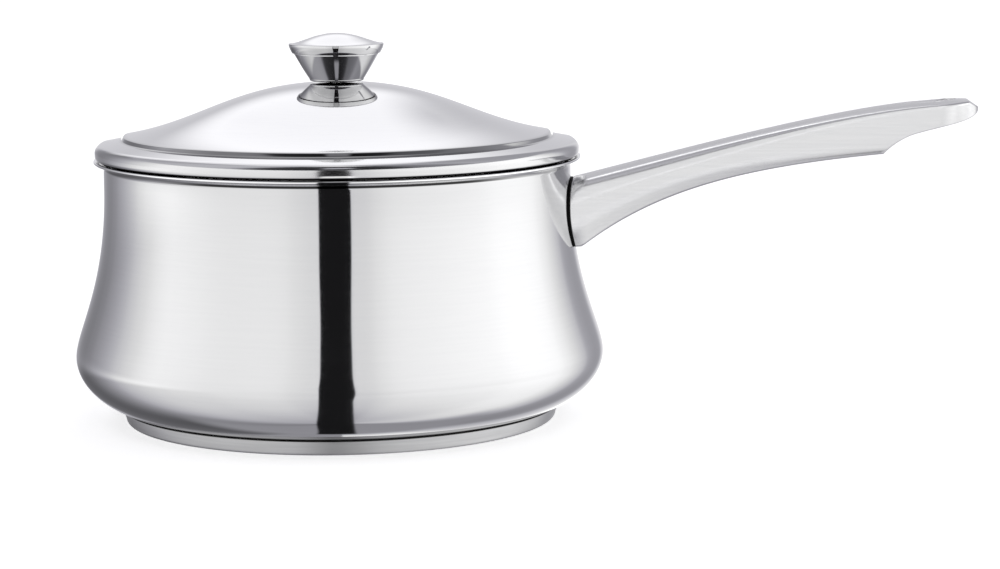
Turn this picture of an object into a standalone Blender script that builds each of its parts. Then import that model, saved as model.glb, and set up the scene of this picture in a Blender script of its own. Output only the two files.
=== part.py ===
"""Covered saucepan: a waisted pot on a capsule base, a hollow long handle and a domed lid with a knob.

Metres, +Z up. The origin is the centre of the base's underside, on the pot's axis, and the handle
runs along +X. The lid lifts straight up.
"""

import math

import bmesh
import bpy

# Clearance between neighbouring pieces, and how far a cutter runs past what it cuts
GAP = 0.0003
OVERRUN = 0.004

# Pot: a deep-drawn steel body with a narrow neck, a low belly and a turned-out lip
POT_SHEET = 0.001
NECK_RADIUS = 0.0999
NECK_BELOW_LIP = 0.0112
BELLY_RADIUS = 0.1134
BELLY_HEIGHT = 0.0285
LIP_RADIUS = 0.104
LIP_HEIGHT = 0.1125
LIP_BEND = 0.003
NECK_PULL_SHARE = 0.59
BELLY_PULL_SHARE = 0.155
LOWER_PULL_SHARE = 0.44
FLOOR_PULL_SHARES = (0.565, 0.18)

# Base: an aluminium disc closed in a steel capsule
BASE_RADIUS = 0.094
BASE_THICKNESS = 0.0066
BASE_TAPER = 0.0014
BASE_CORNER = 0.0018
CAPSULE_SHEET = 0.0006

# Lid: one steel pressing, hemmed under its rim into a skirt that finds the pot's mouth
LID_SHEET = 0.0007
LID_RADIUS = 0.1034
RIM_DEPTH = 0.006
RIM_CURL = 0.0018
RIM_CORNER = 0.003
RIM_ROUND_SHARE = 0.57
FLANGE_WIDTH = 0.0114
FLANGE_RISE = 0.0021
STEP_WIDTH = 0.0009
STEP_RISE = 0.0016
DOME_RISE = 0.022
DOME_CROWN_PULL_SHARE = 0.48
DOME_EDGE_PULL_SHARES = (0.39, 0.3)
SKIRT_CLEARANCE = 0.0011
SKIRT_DEPTH = 0.0058
HEM_BEND = 0.0008

# Knob: a steel cup under a domed cap, held by a screw from inside the lid
KNOB_SHEET = 0.001
KNOB_FOOT_RADIUS = 0.0108
KNOB_FOOT_ROUND = 0.0009
KNOB_CUP_RADIUS = 0.0182
KNOB_CUP_HEIGHT = 0.0117
KNOB_CUP_PULL_SHARES = ((0.34, 0.3), (0.7, 0.68))
KNOB_SEAM_STEP = 0.0008
KNOB_CAP_OVERHANG = 0.0021
KNOB_BAND_HEIGHT = 0.0034
KNOB_BAND_PULL_SHARES = ((0.0, 0.31), (0.68, 0.78))
KNOB_CREST_ROUND = 0.0005
KNOB_DOME_RISE = 0.0044
KNOB_DOME_PULL_SHARES = ((0.46, 1.0), (0.72, 0.14))

# Knob screw, M5, with its nut and washers
KNOB_SHANK_RADIUS = 0.0025
KNOB_HEAD_RADIUS = 0.0047
KNOB_HEAD_HEIGHT = 0.003
KNOB_NUT_WIDTH = 0.008
KNOB_NUT_HEIGHT = 0.004
KNOB_THREAD_END = 0.001
FLAT_WASHER_RADIUS = 0.0075
FLAT_WASHER_THICKNESS = 0.001
LOCK_WASHER_RADIUS = 0.0046
LOCK_WASHER_THICKNESS = 0.0012
LOCK_WASHER_SPLIT = 0.0008
DRIVE_WIDTH = 0.0011
DRIVE_REACH_SHARE = 0.55
DRIVE_DEPTH_SHARE = 0.6

# Handle: an upper shell open below, whose ridge, foot and tail lines are seen from the side
HANDLE_LENGTH = 0.1723
HANDLE_BELOW_LIP = 0.0094
HANDLE_RISE = 0.0328
HANDLE_SHEET = 0.0016
HANDLE_WIDTH = 0.025
HANDLE_BULGE = 0.005
HANDLE_CROWN = 0.0026
CREASE_WIDTH_SHARES = (0.5, 0.36, 0.38, 0.52)
LOWER_WIDTH_SHARES = (0.48, 0.34, 0.36, 0.48)
BULGE_SHARES = (1.0, 0.3, 0.3, 0.3)
CROWN_SHARES = (0.85, 1.3, 0.92, 0.6)
RIDGE_PULL_SHARES = ((0.345, 0.443), (0.763, 1.038))
ROOT_HEIGHT = 0.0287
ROOT_FOOT = 0.0046
UNDER_RISE = 0.0389
UNDER_PULL_SHARES = ((0.247, 0.615), (0.538, 0.856))
STEP_FROM_TIP = 0.0404
TAIL_RISE = 0.0092
TAIL_LENGTH = 0.0152
TAIL_PULL_SHARES = ((0.28, 0.5), (0.6, 0.84))
NOSE_LENGTH = 0.019
NOSE_DROP = 0.0033
NOSE_DROP_LENGTH = 0.0047
NOSE_EDGE_HEIGHT = 0.0014
NOSE_TAIL_PULL_SHARES = ((0.5, 0.42), (0.93, 0.55))
NOSE_SWEEP = math.radians(76)
NOSE_WALL = 0.005

# Hanging hole near the tip, in a shallow dished recess
HANG_HOLE_RADIUS = 0.004
HANG_HOLE_FROM_TIP = 0.0142
RECESS_LENGTH = 0.027
RECESS_WIDTH = 0.013
RECESS_DEPTH = 0.0008
RECESS_FROM_TIP = 0.0212

# Handle underside: a cover set up inside the shell's edges and turned up at its far end
COVER_SHEET = 0.0014
COVER_CLEARANCE = 0.0004
COVER_INSET = 0.003
COVER_SETBACK = 0.006
COVER_END_LEAN = 0.003

# Gasket and bracket between the handle's root and the pot
GASKET_THICKNESS = 0.0005
GASKET_RING = 0.0032
BRACKET_SHEET = 0.002
BRACKET_WIDTH = 0.016
BRACKET_HEIGHT = 0.018
BRACKET_ARM = 0.022

# Handle screw, M5, through the cover into the bracket
HANDLE_SCREW_PLACE = 0.0145
HANDLE_SHANK_RADIUS = 0.0025
HANDLE_SHANK_LENGTH = 0.006
HANDLE_HEAD_RADIUS = 0.0044
HANDLE_HEAD_HEIGHT = 0.0018

# How finely curves are divided
TURN_STEPS = 48
SMALL_TURN_STEPS = 24
HOLE_STEPS = 16
BODY_STEPS = 10
LOWER_STEPS = 6
BEND_STEPS = 3
DOME_STEPS = 9
KNOB_STEPS = 5
LINE_STEPS = 64
CROWN_STEPS = 4
SIDE_STEPS = 7
GRIP_STATIONS = 14
TAIL_STATIONS = 6
NOSE_STATIONS = 6
MERGE_DISTANCE = 0.00001

# Heights and places that several pieces share
LID_SEAT = LIP_HEIGHT + GAP
NECK_HEIGHT = LIP_HEIGHT - NECK_BELOW_LIP
HANDLE_TOP = LIP_HEIGHT - HANDLE_BELOW_LIP
DOME_RADIUS = LID_RADIUS - FLANGE_WIDTH - STEP_WIDTH
LID_CROWN = RIM_DEPTH + FLANGE_RISE + STEP_RISE + DOME_RISE
SKIRT_RADIUS = NECK_RADIUS - POT_SHEET - SKIRT_CLEARANCE
KNOB_SEAT = LID_CROWN + GAP
KNOB_BORE = KNOB_SHANK_RADIUS + GAP
TIP_X = NECK_RADIUS + HANDLE_LENGTH
STEP_X = TIP_X - STEP_FROM_TIP
CORNER_X = TIP_X - NOSE_DROP_LENGTH
NOSE_X = TIP_X - NOSE_LENGTH * math.sin(NOSE_SWEEP)
ROOT_BOTTOM = HANDLE_TOP - ROOT_HEIGHT
TIP_HEIGHT = HANDLE_TOP + HANDLE_RISE - NOSE_DROP
SCREW_X = NECK_RADIUS + HANDLE_SCREW_PLACE


def clear_scene():
    """Remove what the scene holds."""
    for thing in list(bpy.data.objects):
        bpy.data.objects.remove(thing, do_unlink=True)


def new_collection(name):
    """A collection under the scene."""
    collection = bpy.data.collections.new(name)
    bpy.context.scene.collection.children.link(collection)
    return collection


def new_material(name, colour, roughness, metallic):
    """A plain Principled material."""
    material = bpy.data.materials.new(name)
    material.use_nodes = True
    shader = material.node_tree.nodes["Principled BSDF"]
    shader.inputs["Base Color"].default_value = (*colour, 1.0)
    shader.inputs["Roughness"].default_value = roughness
    shader.inputs["Metallic"].default_value = metallic
    return material


# Curves and outlines, as lists of points


def bezier(start, pull_start, pull_end, end, steps):
    """Points of a cubic curve, both ends included."""
    points = []
    for step in range(steps + 1):
        t = step / steps
        weights = ((1 - t) ** 3, 3 * (1 - t) ** 2 * t, 3 * (1 - t) * t ** 2, t ** 3)
        corners = (start, pull_start, pull_end, end)
        points.append(tuple(sum(w * p[axis] for w, p in zip(weights, corners)) for axis in (0, 1)))
    return points


def pulled(start, end, pull_shares, steps):
    """A cubic curve whose two handles stand at shares of the way across and up from start to end."""
    across = end[0] - start[0]
    up = end[1] - start[1]
    handles = [(start[0] + share[0] * across, start[1] + share[1] * up) for share in pull_shares]
    return bezier(start, handles[0], handles[1], end, steps)


def arc(centre, radius, from_degrees, to_degrees, steps):
    """Points of a round bend, both ends included."""
    points = []
    for step in range(steps + 1):
        angle = math.radians(from_degrees + (to_degrees - from_degrees) * step / steps)
        points.append((centre[0] + radius * math.cos(angle), centre[1] + radius * math.sin(angle)))
    return points


def blend(values, t):
    """A value that runs smoothly from the first of four to the last, drawn by the middle two."""
    return (
        values[0] * (1 - t) ** 3
        + values[1] * 3 * (1 - t) ** 2 * t
        + values[2] * 3 * (1 - t) * t ** 2
        + values[3] * t ** 3
    )


def height_at(line, x):
    """Height of a line of (x, z) points at x, carried on straight past its ends."""
    for before, after in zip(line, line[1:]):
        if x <= after[0]:
            break
    slope = (after[1] - before[1]) / (after[0] - before[0])
    return before[1] + slope * (x - before[0])


# Objects


def add_object(name, mesh, collection, material=None):
    """An object for a mesh, in its collection."""
    thing = bpy.data.objects.new(name, mesh)
    collection.objects.link(thing)
    if material:
        mesh.materials.append(material)
    return thing


def turned(name, profile, collection, material=None, steps=TURN_STEPS, sheet=None):
    """A profile of (radius, height) points turned about Z; a sheet is thickened on its inner side."""
    mesh = bpy.data.meshes.new(name)
    vertices = [(radius, 0, height) for radius, height in profile]
    edges = [(index, index + 1) for index in range(len(profile) - 1)]
    mesh.from_pydata(vertices, edges, [])
    thing = add_object(name, mesh, collection, material)
    screw = thing.modifiers.new("turn", "SCREW")
    screw.steps = steps
    screw.render_steps = steps
    screw.use_merge_vertices = True
    screw.merge_threshold = MERGE_DISTANCE
    screw.use_smooth_shade = True
    if sheet:
        solidify = thing.modifiers.new("sheet", "SOLIDIFY")
        solidify.thickness = sheet
        solidify.offset = -1
        solidify.use_even_offset = True
    return thing


def lofted(name, rings, collection, material=None):
    """A solid through rings of as many points each, with a flat face at both ends."""
    work = bmesh.new()
    rows = [[work.verts.new(point) for point in ring] for ring in rings]
    for row, following in zip(rows, rows[1:]):
        for index in range(len(row)):
            after = (index + 1) % len(row)
            work.faces.new((row[index], row[after], following[after], following[index]))
    work.faces.new(reversed(rows[0]))
    work.faces.new(rows[-1])
    bmesh.ops.recalc_face_normals(work, faces=work.faces)
    mesh = bpy.data.meshes.new(name)
    work.to_mesh(mesh)
    work.free()
    mesh.shade_smooth()
    mesh.set_sharp_from_angle(angle=math.radians(30))
    return add_object(name, mesh, collection, material)


def extruded(name, outline, width, collection, material=None):
    """A flat outline of (x, z) points, as thick as width across Y."""
    half = width / 2
    rings = [[(x, side, z) for x, z in outline] for side in (-half, half)]
    return lofted(name, rings, collection, material)


def cylinder(name, radius, depth, collection, material=None, vertices=HOLE_STEPS):
    """A cylinder or prism along Z, centred on its origin."""
    mesh = bpy.data.meshes.new(name)
    work = bmesh.new()
    bmesh.ops.create_cone(
        work, cap_ends=True, segments=vertices, radius1=radius, radius2=radius, depth=depth
    )
    work.to_mesh(mesh)
    work.free()
    return add_object(name, mesh, collection, material)


def box(name, size, collection):
    """A box centred on its origin."""
    mesh = bpy.data.meshes.new(name)
    work = bmesh.new()
    bmesh.ops.create_cube(work, size=size[0])
    bmesh.ops.scale(work, vec=(1, size[1] / size[0], size[2] / size[0]), verts=work.verts)
    work.to_mesh(mesh)
    work.free()
    return add_object(name, mesh, collection)


def as_cutter(thing):
    """Mark an object as a cutter, left out of the model."""
    thing.hide_render = True
    thing.display_type = "WIRE"
    return thing


def boolean(thing, cutter, operation="DIFFERENCE"):
    """Cut, keep or join with another object."""
    modifier = thing.modifiers.new(cutter.name, "BOOLEAN")
    modifier.operation = operation
    modifier.solver = "EXACT"
    modifier.object = cutter


# Pot and base


def body_line():
    """The pot's outer line from the foot of its lip to its belly, as (radius, height) points."""
    height = NECK_HEIGHT - BELLY_HEIGHT
    lip_foot = LIP_HEIGHT - POT_SHEET - LIP_BEND
    return [(NECK_RADIUS, lip_foot)] + bezier(
        (NECK_RADIUS, NECK_HEIGHT),
        (NECK_RADIUS, NECK_HEIGHT - NECK_PULL_SHARE * height),
        (BELLY_RADIUS, BELLY_HEIGHT + BELLY_PULL_SHARE * height),
        (BELLY_RADIUS, BELLY_HEIGHT),
        BODY_STEPS,
    )


def lower_line():
    """The pot's outer line from its belly in to its flat bottom."""
    height = BELLY_HEIGHT - BASE_THICKNESS
    inward = BELLY_RADIUS - BASE_RADIUS
    return bezier(
        (BELLY_RADIUS, BELLY_HEIGHT),
        (BELLY_RADIUS, BELLY_HEIGHT - LOWER_PULL_SHARE * height),
        (BASE_RADIUS + FLOOR_PULL_SHARES[0] * inward, BASE_THICKNESS + FLOOR_PULL_SHARES[1] * height),
        (BASE_RADIUS, BASE_THICKNESS),
        LOWER_STEPS,
    )


def make_pot_shell(parts, steel):
    """The drawn body, its lip turned out over a round bend."""
    lip_under = LIP_HEIGHT - POT_SHEET
    bend_centre = (NECK_RADIUS + LIP_BEND, lip_under - LIP_BEND)
    profile = [(LIP_RADIUS, lip_under)]
    profile += arc(bend_centre, LIP_BEND, 90, 180, BEND_STEPS)
    profile += body_line()[1:]
    profile += lower_line()[1:]
    profile.append((0, BASE_THICKNESS))
    return turned("pot_shell", profile, parts, steel, sheet=POT_SHEET)


def make_base_capsule(parts, steel):
    """The steel cup that closes the base from below."""
    top = BASE_THICKNESS - GAP
    foot_radius = BASE_RADIUS - BASE_TAPER
    corner_centre = (foot_radius - BASE_CORNER, BASE_CORNER)
    profile = [(BASE_RADIUS, top)]
    profile += arc(corner_centre, BASE_CORNER, 0, -90, BEND_STEPS)
    profile.append((0, 0))
    return turned("base_capsule", profile, parts, steel, sheet=CAPSULE_SHEET)


def make_base_core(parts, aluminium):
    """The aluminium disc that spreads the heat, inside the capsule."""
    top = BASE_THICKNESS - GAP
    bottom = CAPSULE_SHEET + GAP
    inset = CAPSULE_SHEET + GAP
    foot_radius = BASE_RADIUS - BASE_TAPER - inset
    side_foot = bottom + BASE_CORNER
    profile = [
        (0, top),
        (BASE_RADIUS - inset - GAP, top),
        (foot_radius, side_foot),
        (foot_radius - BASE_CORNER, bottom),
        (0, bottom),
    ]
    return turned("base_core", profile, parts, aluminium)


def wall_block(name, offset, cutters):
    """The space inside the pot's outer surface, grown outwards by an offset."""
    wall = [(radius + offset, height) for radius, height in body_line()]
    profile = [(0, wall[0][1])] + wall + [(0, wall[-1][1])]
    return as_cutter(turned(name, profile, cutters))


# Lid and knob, with heights counted from the plane where the lid sits on the pot's lip


def make_lid_shell(parts, steel):
    """The lid: dome, step, sloping flange, rim, hem and skirt in one sheet with a hole for the screw."""
    rim_top = (LID_RADIUS, RIM_DEPTH)
    flange_end = (LID_RADIUS - FLANGE_WIDTH, RIM_DEPTH + FLANGE_RISE)
    dome_edge = (DOME_RADIUS, flange_end[1] + STEP_RISE)
    dome = bezier(
        (0, LID_CROWN),
        (DOME_CROWN_PULL_SHARE * DOME_RADIUS, LID_CROWN),
        (DOME_RADIUS - DOME_EDGE_PULL_SHARES[0] * DOME_RADIUS,
         dome_edge[1] + DOME_EDGE_PULL_SHARES[1] * DOME_RISE),
        dome_edge,
        DOME_STEPS,
    )
    slope = FLANGE_RISE / FLANGE_WIDTH
    corner_in = (LID_RADIUS - RIM_CORNER, RIM_DEPTH + slope * RIM_CORNER)
    corner_out = (LID_RADIUS, RIM_DEPTH - RIM_CORNER)
    profile = [(KNOB_BORE, LID_CROWN)] + dome[1:]
    profile.append(flange_end)
    pull_in = tuple(start + RIM_ROUND_SHARE * (end - start) for start, end in zip(corner_in, rim_top))
    pull_out = tuple(start + RIM_ROUND_SHARE * (end - start) for start, end in zip(corner_out, rim_top))
    profile += bezier(corner_in, pull_in, pull_out, corner_out, BEND_STEPS)
    profile += arc((LID_RADIUS - RIM_CURL, RIM_CURL), RIM_CURL, 0, -90, BEND_STEPS)
    profile.append((SKIRT_RADIUS + HEM_BEND, 0))
    profile.append((SKIRT_RADIUS, -HEM_BEND))
    profile.append((SKIRT_RADIUS, -SKIRT_DEPTH))
    return turned("lid_shell", profile, parts, steel, sheet=LID_SHEET)


def make_knob_cup(parts, steel):
    """The knob's lower cup, flaring from a small foot."""
    shoulder = (KNOB_FOOT_RADIUS + KNOB_FOOT_ROUND, KNOB_SEAT + KNOB_FOOT_ROUND)
    brim = (KNOB_CUP_RADIUS, KNOB_SEAT + KNOB_CUP_HEIGHT)
    profile = pulled(shoulder, brim, KNOB_CUP_PULL_SHARES, KNOB_STEPS)[::-1]
    profile += arc((KNOB_FOOT_RADIUS, shoulder[1]), KNOB_FOOT_ROUND, 0, -90, BEND_STEPS)[1:]
    profile.append((KNOB_BORE, KNOB_SEAT))
    return turned("knob_cup", profile, parts, steel, SMALL_TURN_STEPS, KNOB_SHEET)


def make_knob_cap(parts, steel):
    """The knob's cap: a low dome with an overhanging edge and a bulging band below it."""
    band_foot = (KNOB_CUP_RADIUS + KNOB_SEAM_STEP, KNOB_SEAT + KNOB_CUP_HEIGHT + GAP)
    edge_radius = KNOB_CUP_RADIUS + KNOB_CAP_OVERHANG
    edge = (edge_radius, band_foot[1] + KNOB_BAND_HEIGHT)
    crest = (edge_radius - KNOB_CREST_ROUND, edge[1] + KNOB_CREST_ROUND)
    summit = (0, crest[1] + KNOB_DOME_RISE)
    dome = bezier(
        summit,
        (KNOB_DOME_PULL_SHARES[0][0] * crest[0], crest[1] + KNOB_DOME_PULL_SHARES[0][1] * KNOB_DOME_RISE),
        (KNOB_DOME_PULL_SHARES[1][0] * crest[0], crest[1] + KNOB_DOME_PULL_SHARES[1][1] * KNOB_DOME_RISE),
        crest,
        KNOB_STEPS,
    )
    profile = dome + pulled(edge, band_foot, KNOB_BAND_PULL_SHARES, BEND_STEPS)
    return turned("knob_cap", profile, parts, steel, SMALL_TURN_STEPS, KNOB_SHEET)


def make_knob_nut(parts, cutters, steel):
    """The hexagon nut on the cup's floor."""
    corner_radius = KNOB_NUT_WIDTH / math.sqrt(3)
    floor = KNOB_SEAT + KNOB_SHEET + GAP
    nut = cylinder("knob_nut", corner_radius, KNOB_NUT_HEIGHT, parts, steel, 6)
    nut.location = (0, 0, floor + KNOB_NUT_HEIGHT / 2)
    bore = as_cutter(cylinder("knob_nut_bore", KNOB_BORE, KNOB_NUT_HEIGHT + OVERRUN, cutters))
    bore.location = nut.location
    boolean(nut, bore)
    return nut, bore


def ring(name, outer_radius, thickness, top, parts, steel):
    """A washer whose upper face lies at a height."""
    profile = [
        (KNOB_BORE, top),
        (outer_radius, top),
        (outer_radius, top - thickness),
        (KNOB_BORE, top - thickness),
        (KNOB_BORE, top),
    ]
    return turned(name, profile, parts, steel, SMALL_TURN_STEPS)


def make_knob_washers(parts, cutters, steel):
    """A flat washer under the lid's crown and a split lock washer below it."""
    flat_top = LID_CROWN - LID_SHEET - GAP
    lock_top = flat_top - FLAT_WASHER_THICKNESS - GAP
    flat = ring("knob_washer", FLAT_WASHER_RADIUS, FLAT_WASHER_THICKNESS, flat_top, parts, steel)
    lock = ring("knob_lock_washer", LOCK_WASHER_RADIUS, LOCK_WASHER_THICKNESS, lock_top, parts, steel)
    slot_size = (LOCK_WASHER_RADIUS, LOCK_WASHER_SPLIT, LOCK_WASHER_THICKNESS + OVERRUN)
    slot = as_cutter(box("knob_lock_washer_split", slot_size, cutters))
    slot.location = (LOCK_WASHER_RADIUS, 0, lock_top)
    boolean(lock, slot)
    return flat, lock, slot


def screw_profile(shank_radius, shank_end, head_radius, head_height):
    """A pan-head screw standing head down, its head's upper face at height zero."""
    round_start = head_height / 2
    return [
        (0, shank_end),
        (shank_radius, shank_end),
        (shank_radius, 0),
        (head_radius, 0),
        (head_radius, -round_start),
        (head_radius - round_start, -head_height),
        (0, -head_height),
    ]


def cross_drive(name, head_radius, head_height, cutters):
    """A cross recess to be cut into a screw head, centred on the head's outer face."""
    reach = 2 * DRIVE_REACH_SHARE * head_radius
    depth = 2 * DRIVE_DEPTH_SHARE * head_height
    cross = as_cutter(box(name, (reach, DRIVE_WIDTH, depth), cutters))
    bar = as_cutter(box(name + "_bar", (DRIVE_WIDTH, reach, depth), cutters))
    boolean(cross, bar, "UNION")
    return cross, bar


def make_knob_screw(parts, cutters, steel):
    """The screw that holds the knob, from inside the lid."""
    washers = FLAT_WASHER_THICKNESS + LOCK_WASHER_THICKNESS + GAP
    head_top = LID_CROWN - LID_SHEET - washers - 2 * GAP
    shank_end = KNOB_SEAT + KNOB_SHEET + GAP + KNOB_NUT_HEIGHT + KNOB_THREAD_END - head_top
    profile = screw_profile(KNOB_SHANK_RADIUS, shank_end, KNOB_HEAD_RADIUS, KNOB_HEAD_HEIGHT)
    screw = turned("knob_screw", profile, parts, steel, SMALL_TURN_STEPS)
    screw.location = (0, 0, head_top)
    cross, bar = cross_drive("knob_screw_drive", KNOB_HEAD_RADIUS, KNOB_HEAD_HEIGHT, cutters)
    cross.location = (0, 0, head_top - KNOB_HEAD_HEIGHT)
    bar.location = cross.location
    boolean(screw, cross)
    return screw, cross, bar


# Handle: lines seen from the side, as (x, z) points, and widths across it


def ridge_line():
    """The handle's highest line, from the pot to the corner of its nose and down to the tip."""
    root = (NECK_RADIUS, HANDLE_TOP)
    corner = (CORNER_X, HANDLE_TOP + HANDLE_RISE)
    return pulled(root, corner, RIDGE_PULL_SHARES, LINE_STEPS) + [(TIP_X, TIP_HEIGHT)]


def under_line():
    """The handle's lower line: a short foot at the pot, then a hollow curve out to the step."""
    foot = (NECK_RADIUS + ROOT_FOOT, ROOT_BOTTOM)
    step = (STEP_X, ROOT_BOTTOM + UNDER_RISE)
    return [(NECK_RADIUS, ROOT_BOTTOM)] + pulled(foot, step, UNDER_PULL_SHARES, LINE_STEPS)


def tail_line():
    """The lower line past the step, rising to the underside of the tip."""
    step = (STEP_X, ROOT_BOTTOM + UNDER_RISE)
    bend = (STEP_X + TAIL_LENGTH, step[1] + TAIL_RISE)
    tip = (TIP_X, TIP_HEIGHT - NOSE_EDGE_HEIGHT)
    first = pulled(step, bend, TAIL_PULL_SHARES, LINE_STEPS)
    return first + pulled(bend, tip, NOSE_TAIL_PULL_SHARES, LINE_STEPS)[1:]


RIDGE = ridge_line()
UNDER = under_line()
TAIL = tail_line()


def edge_height(x):
    """Height of the shell's lower edge."""
    return height_at(UNDER if x <= STEP_X else TAIL, x)


def nose_share(x):
    """How much of its width the handle keeps at x, as it rounds off to the tip in plan."""
    if x <= NOSE_X:
        return 1.0
    return math.sqrt(1 - ((x - NOSE_X) / NOSE_LENGTH) ** 2)


def place_share(x):
    """Place along the handle, from 0 at the pot to 1 at the tip."""
    return min(max((x - NECK_RADIUS) / HANDLE_LENGTH, 0), 1)


def crease_half_width(x):
    """Half the width between the two creases beside the crowned top."""
    return HANDLE_WIDTH * blend(CREASE_WIDTH_SHARES, place_share(x)) * nose_share(x)


def crown_height(x):
    """How far the ridge stands above the creases."""
    return HANDLE_CROWN * blend(CROWN_SHARES, place_share(x)) * nose_share(x) ** 2


def crease_height(x):
    """Height of the creases."""
    return height_at(RIDGE, x) - crown_height(x)


def side_half_width(x, z):
    """Half the handle's width at a height on its bulging sides."""
    depth_share = (crease_height(x) - z) / (crease_height(x) - height_at(UNDER, x))
    lower = HANDLE_WIDTH * blend(LOWER_WIDTH_SHARES, place_share(x)) * nose_share(x)
    bulge = HANDLE_BULGE * blend(BULGE_SHARES, place_share(x)) * nose_share(x)
    upper = crease_half_width(x)
    return upper + (lower - upper) * depth_share + 4 * bulge * depth_share * (1 - depth_share)


def handle_half_section(x, inset, bottom):
    """Points (y, z) from just beside the ridge down one side, inset from the handle's surface."""
    width = crease_half_width(x) - inset
    crease = crease_height(x) - inset
    points = []
    for step in range(1, CROWN_STEPS + 1):
        y_share = step / CROWN_STEPS
        points.append((width * y_share, crease + crown_height(x) * (1 - y_share ** 2)))
    for step in range(1, SIDE_STEPS + 1):
        z = crease + (bottom - crease) * step / SIDE_STEPS
        points.append((side_half_width(x, z) - inset, z))
    return points


def handle_ring(x, inset, bottom):
    """A closed ring across the handle at x, flat at the bottom."""
    half = handle_half_section(x, inset, bottom)
    ridge = (0, height_at(RIDGE, x) - inset)
    loop = [ridge] + half + [(-y, z) for y, z in reversed(half)]
    return [(x, y, z) for y, z in loop]


def grip_stations():
    """Places from inside the pot's wall out to the step."""
    foot = NECK_RADIUS + ROOT_FOOT
    spread = [foot + (STEP_X - foot) * step / GRIP_STATIONS for step in range(GRIP_STATIONS + 1)]
    return [NECK_RADIUS - OVERRUN] + spread


def tongue_stations(end_angle):
    """Places past the step, closer together as the nose rounds off."""
    straight = [STEP_X + (NOSE_X - STEP_X) * (step + 1) / TAIL_STATIONS for step in range(TAIL_STATIONS)]
    angles = [end_angle * (step + 1) / NOSE_STATIONS for step in range(NOSE_STATIONS)]
    return straight + [NOSE_X + NOSE_LENGTH * math.sin(angle) for angle in angles]


def make_handle_upper(parts, cutters, root_block, steel):
    """The handle's shell: an arched section, open below, solid at the nose, with its hanging hole."""
    stations = grip_stations() + tongue_stations(NOSE_SWEEP)
    rings = [handle_ring(x, 0, edge_height(x)) for x in stations]
    shell = lofted("handle_upper", rings, parts, steel)
    void_angle = math.asin((TIP_X - NOSE_WALL - NOSE_X) / NOSE_LENGTH)
    void_stations = grip_stations() + tongue_stations(void_angle)
    void_stations[0] -= OVERRUN
    void_rings = [handle_ring(x, HANDLE_SHEET, edge_height(x) - OVERRUN) for x in void_stations]
    boolean(shell, as_cutter(lofted("handle_void", void_rings, cutters)))
    boolean(shell, root_block)
    boolean(shell, make_recess(cutters))
    boolean(shell, make_hang_hole(cutters))
    return shell


def make_recess(cutters):
    """A flat round body that dishes the top near the tip."""
    x = TIP_X - RECESS_FROM_TIP
    mesh = bpy.data.meshes.new("recess")
    work = bmesh.new()
    bmesh.ops.create_uvsphere(
        work, u_segments=HOLE_STEPS, v_segments=HOLE_STEPS, radius=RECESS_LENGTH / 2
    )
    flattening = (1, RECESS_WIDTH / RECESS_LENGTH, 2 * RECESS_DEPTH / RECESS_LENGTH)
    bmesh.ops.scale(work, vec=flattening, verts=work.verts)
    work.to_mesh(mesh)
    work.free()
    recess = as_cutter(add_object("recess", mesh, cutters))
    rise = height_at(RIDGE, x + RECESS_LENGTH / 2) - height_at(RIDGE, x - RECESS_LENGTH / 2)
    recess.location = (x, 0, height_at(RIDGE, x))
    recess.rotation_euler = (0, -math.atan2(rise, RECESS_LENGTH), 0)
    return recess


def make_hang_hole(cutters):
    """The hole that the pan hangs by."""
    x = TIP_X - HANG_HOLE_FROM_TIP
    depth = height_at(RIDGE, x) - edge_height(x) + 2 * OVERRUN
    hole = as_cutter(cylinder("hang_hole", HANG_HOLE_RADIUS, depth, cutters))
    hole.location = (x, 0, (height_at(RIDGE, x) + edge_height(x)) / 2)
    return hole


def cover_height(x):
    """Height of the cover's lower face."""
    return height_at(UNDER, x) + COVER_INSET


def cover_half_width(x, z):
    """Half the cover's width, just clear of the shell's inner sides."""
    return side_half_width(x, z) - HANDLE_SHEET - COVER_CLEARANCE


def make_handle_lower(parts, root_block, screw_hole, steel):
    """The cover that closes the handle's underside and turns up at the step."""
    turn_x = STEP_X - COVER_SETBACK
    foot = NECK_RADIUS + ROOT_FOOT
    spread = [foot + (turn_x - foot) * step / GRIP_STATIONS for step in range(GRIP_STATIONS + 1)]
    places = [NECK_RADIUS - OVERRUN] + spread
    lower = [(x, cover_height(x)) for x in places]
    upper = [(x, cover_height(x) + COVER_SHEET) for x in places]
    top_x = turn_x + COVER_END_LEAN
    top = crease_height(top_x) - HANDLE_SHEET - GAP
    upper[-1] = (turn_x - COVER_SHEET, upper[-1][1])
    lower.append((top_x, top))
    upper.append((top_x - COVER_SHEET, top))
    rings = []
    for low, high in zip(lower, upper):
        narrow = min(cover_half_width(*low), cover_half_width(*high))
        rings.append([
            (low[0], -narrow, low[1]),
            (low[0], narrow, low[1]),
            (high[0], narrow, high[1]),
            (high[0], -narrow, high[1]),
        ])
    cover = lofted("handle_lower", rings, parts, steel)
    boolean(cover, root_block)
    boolean(cover, screw_hole)
    return cover


def make_handle_gasket(parts, cutters, inner_block, outer_block, rubber):
    """The thin black ring between the handle's root and the pot."""
    x = NECK_RADIUS + ROOT_FOOT
    outer = handle_ring(x, 0, ROOT_BOTTOM)
    inner = handle_ring(x, GASKET_RING, ROOT_BOTTOM + GASKET_RING)
    bars = []
    for loop in (outer, inner):
        bars.append([[(place, y, z) for _, y, z in loop] for place in (NECK_RADIUS - OVERRUN, x + OVERRUN)])
    gasket = lofted("handle_gasket", bars[0], parts, rubber)
    boolean(gasket, as_cutter(lofted("gasket_window", bars[1], cutters)))
    boolean(gasket, outer_block, "INTERSECT")
    boolean(gasket, inner_block)
    return gasket


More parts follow.
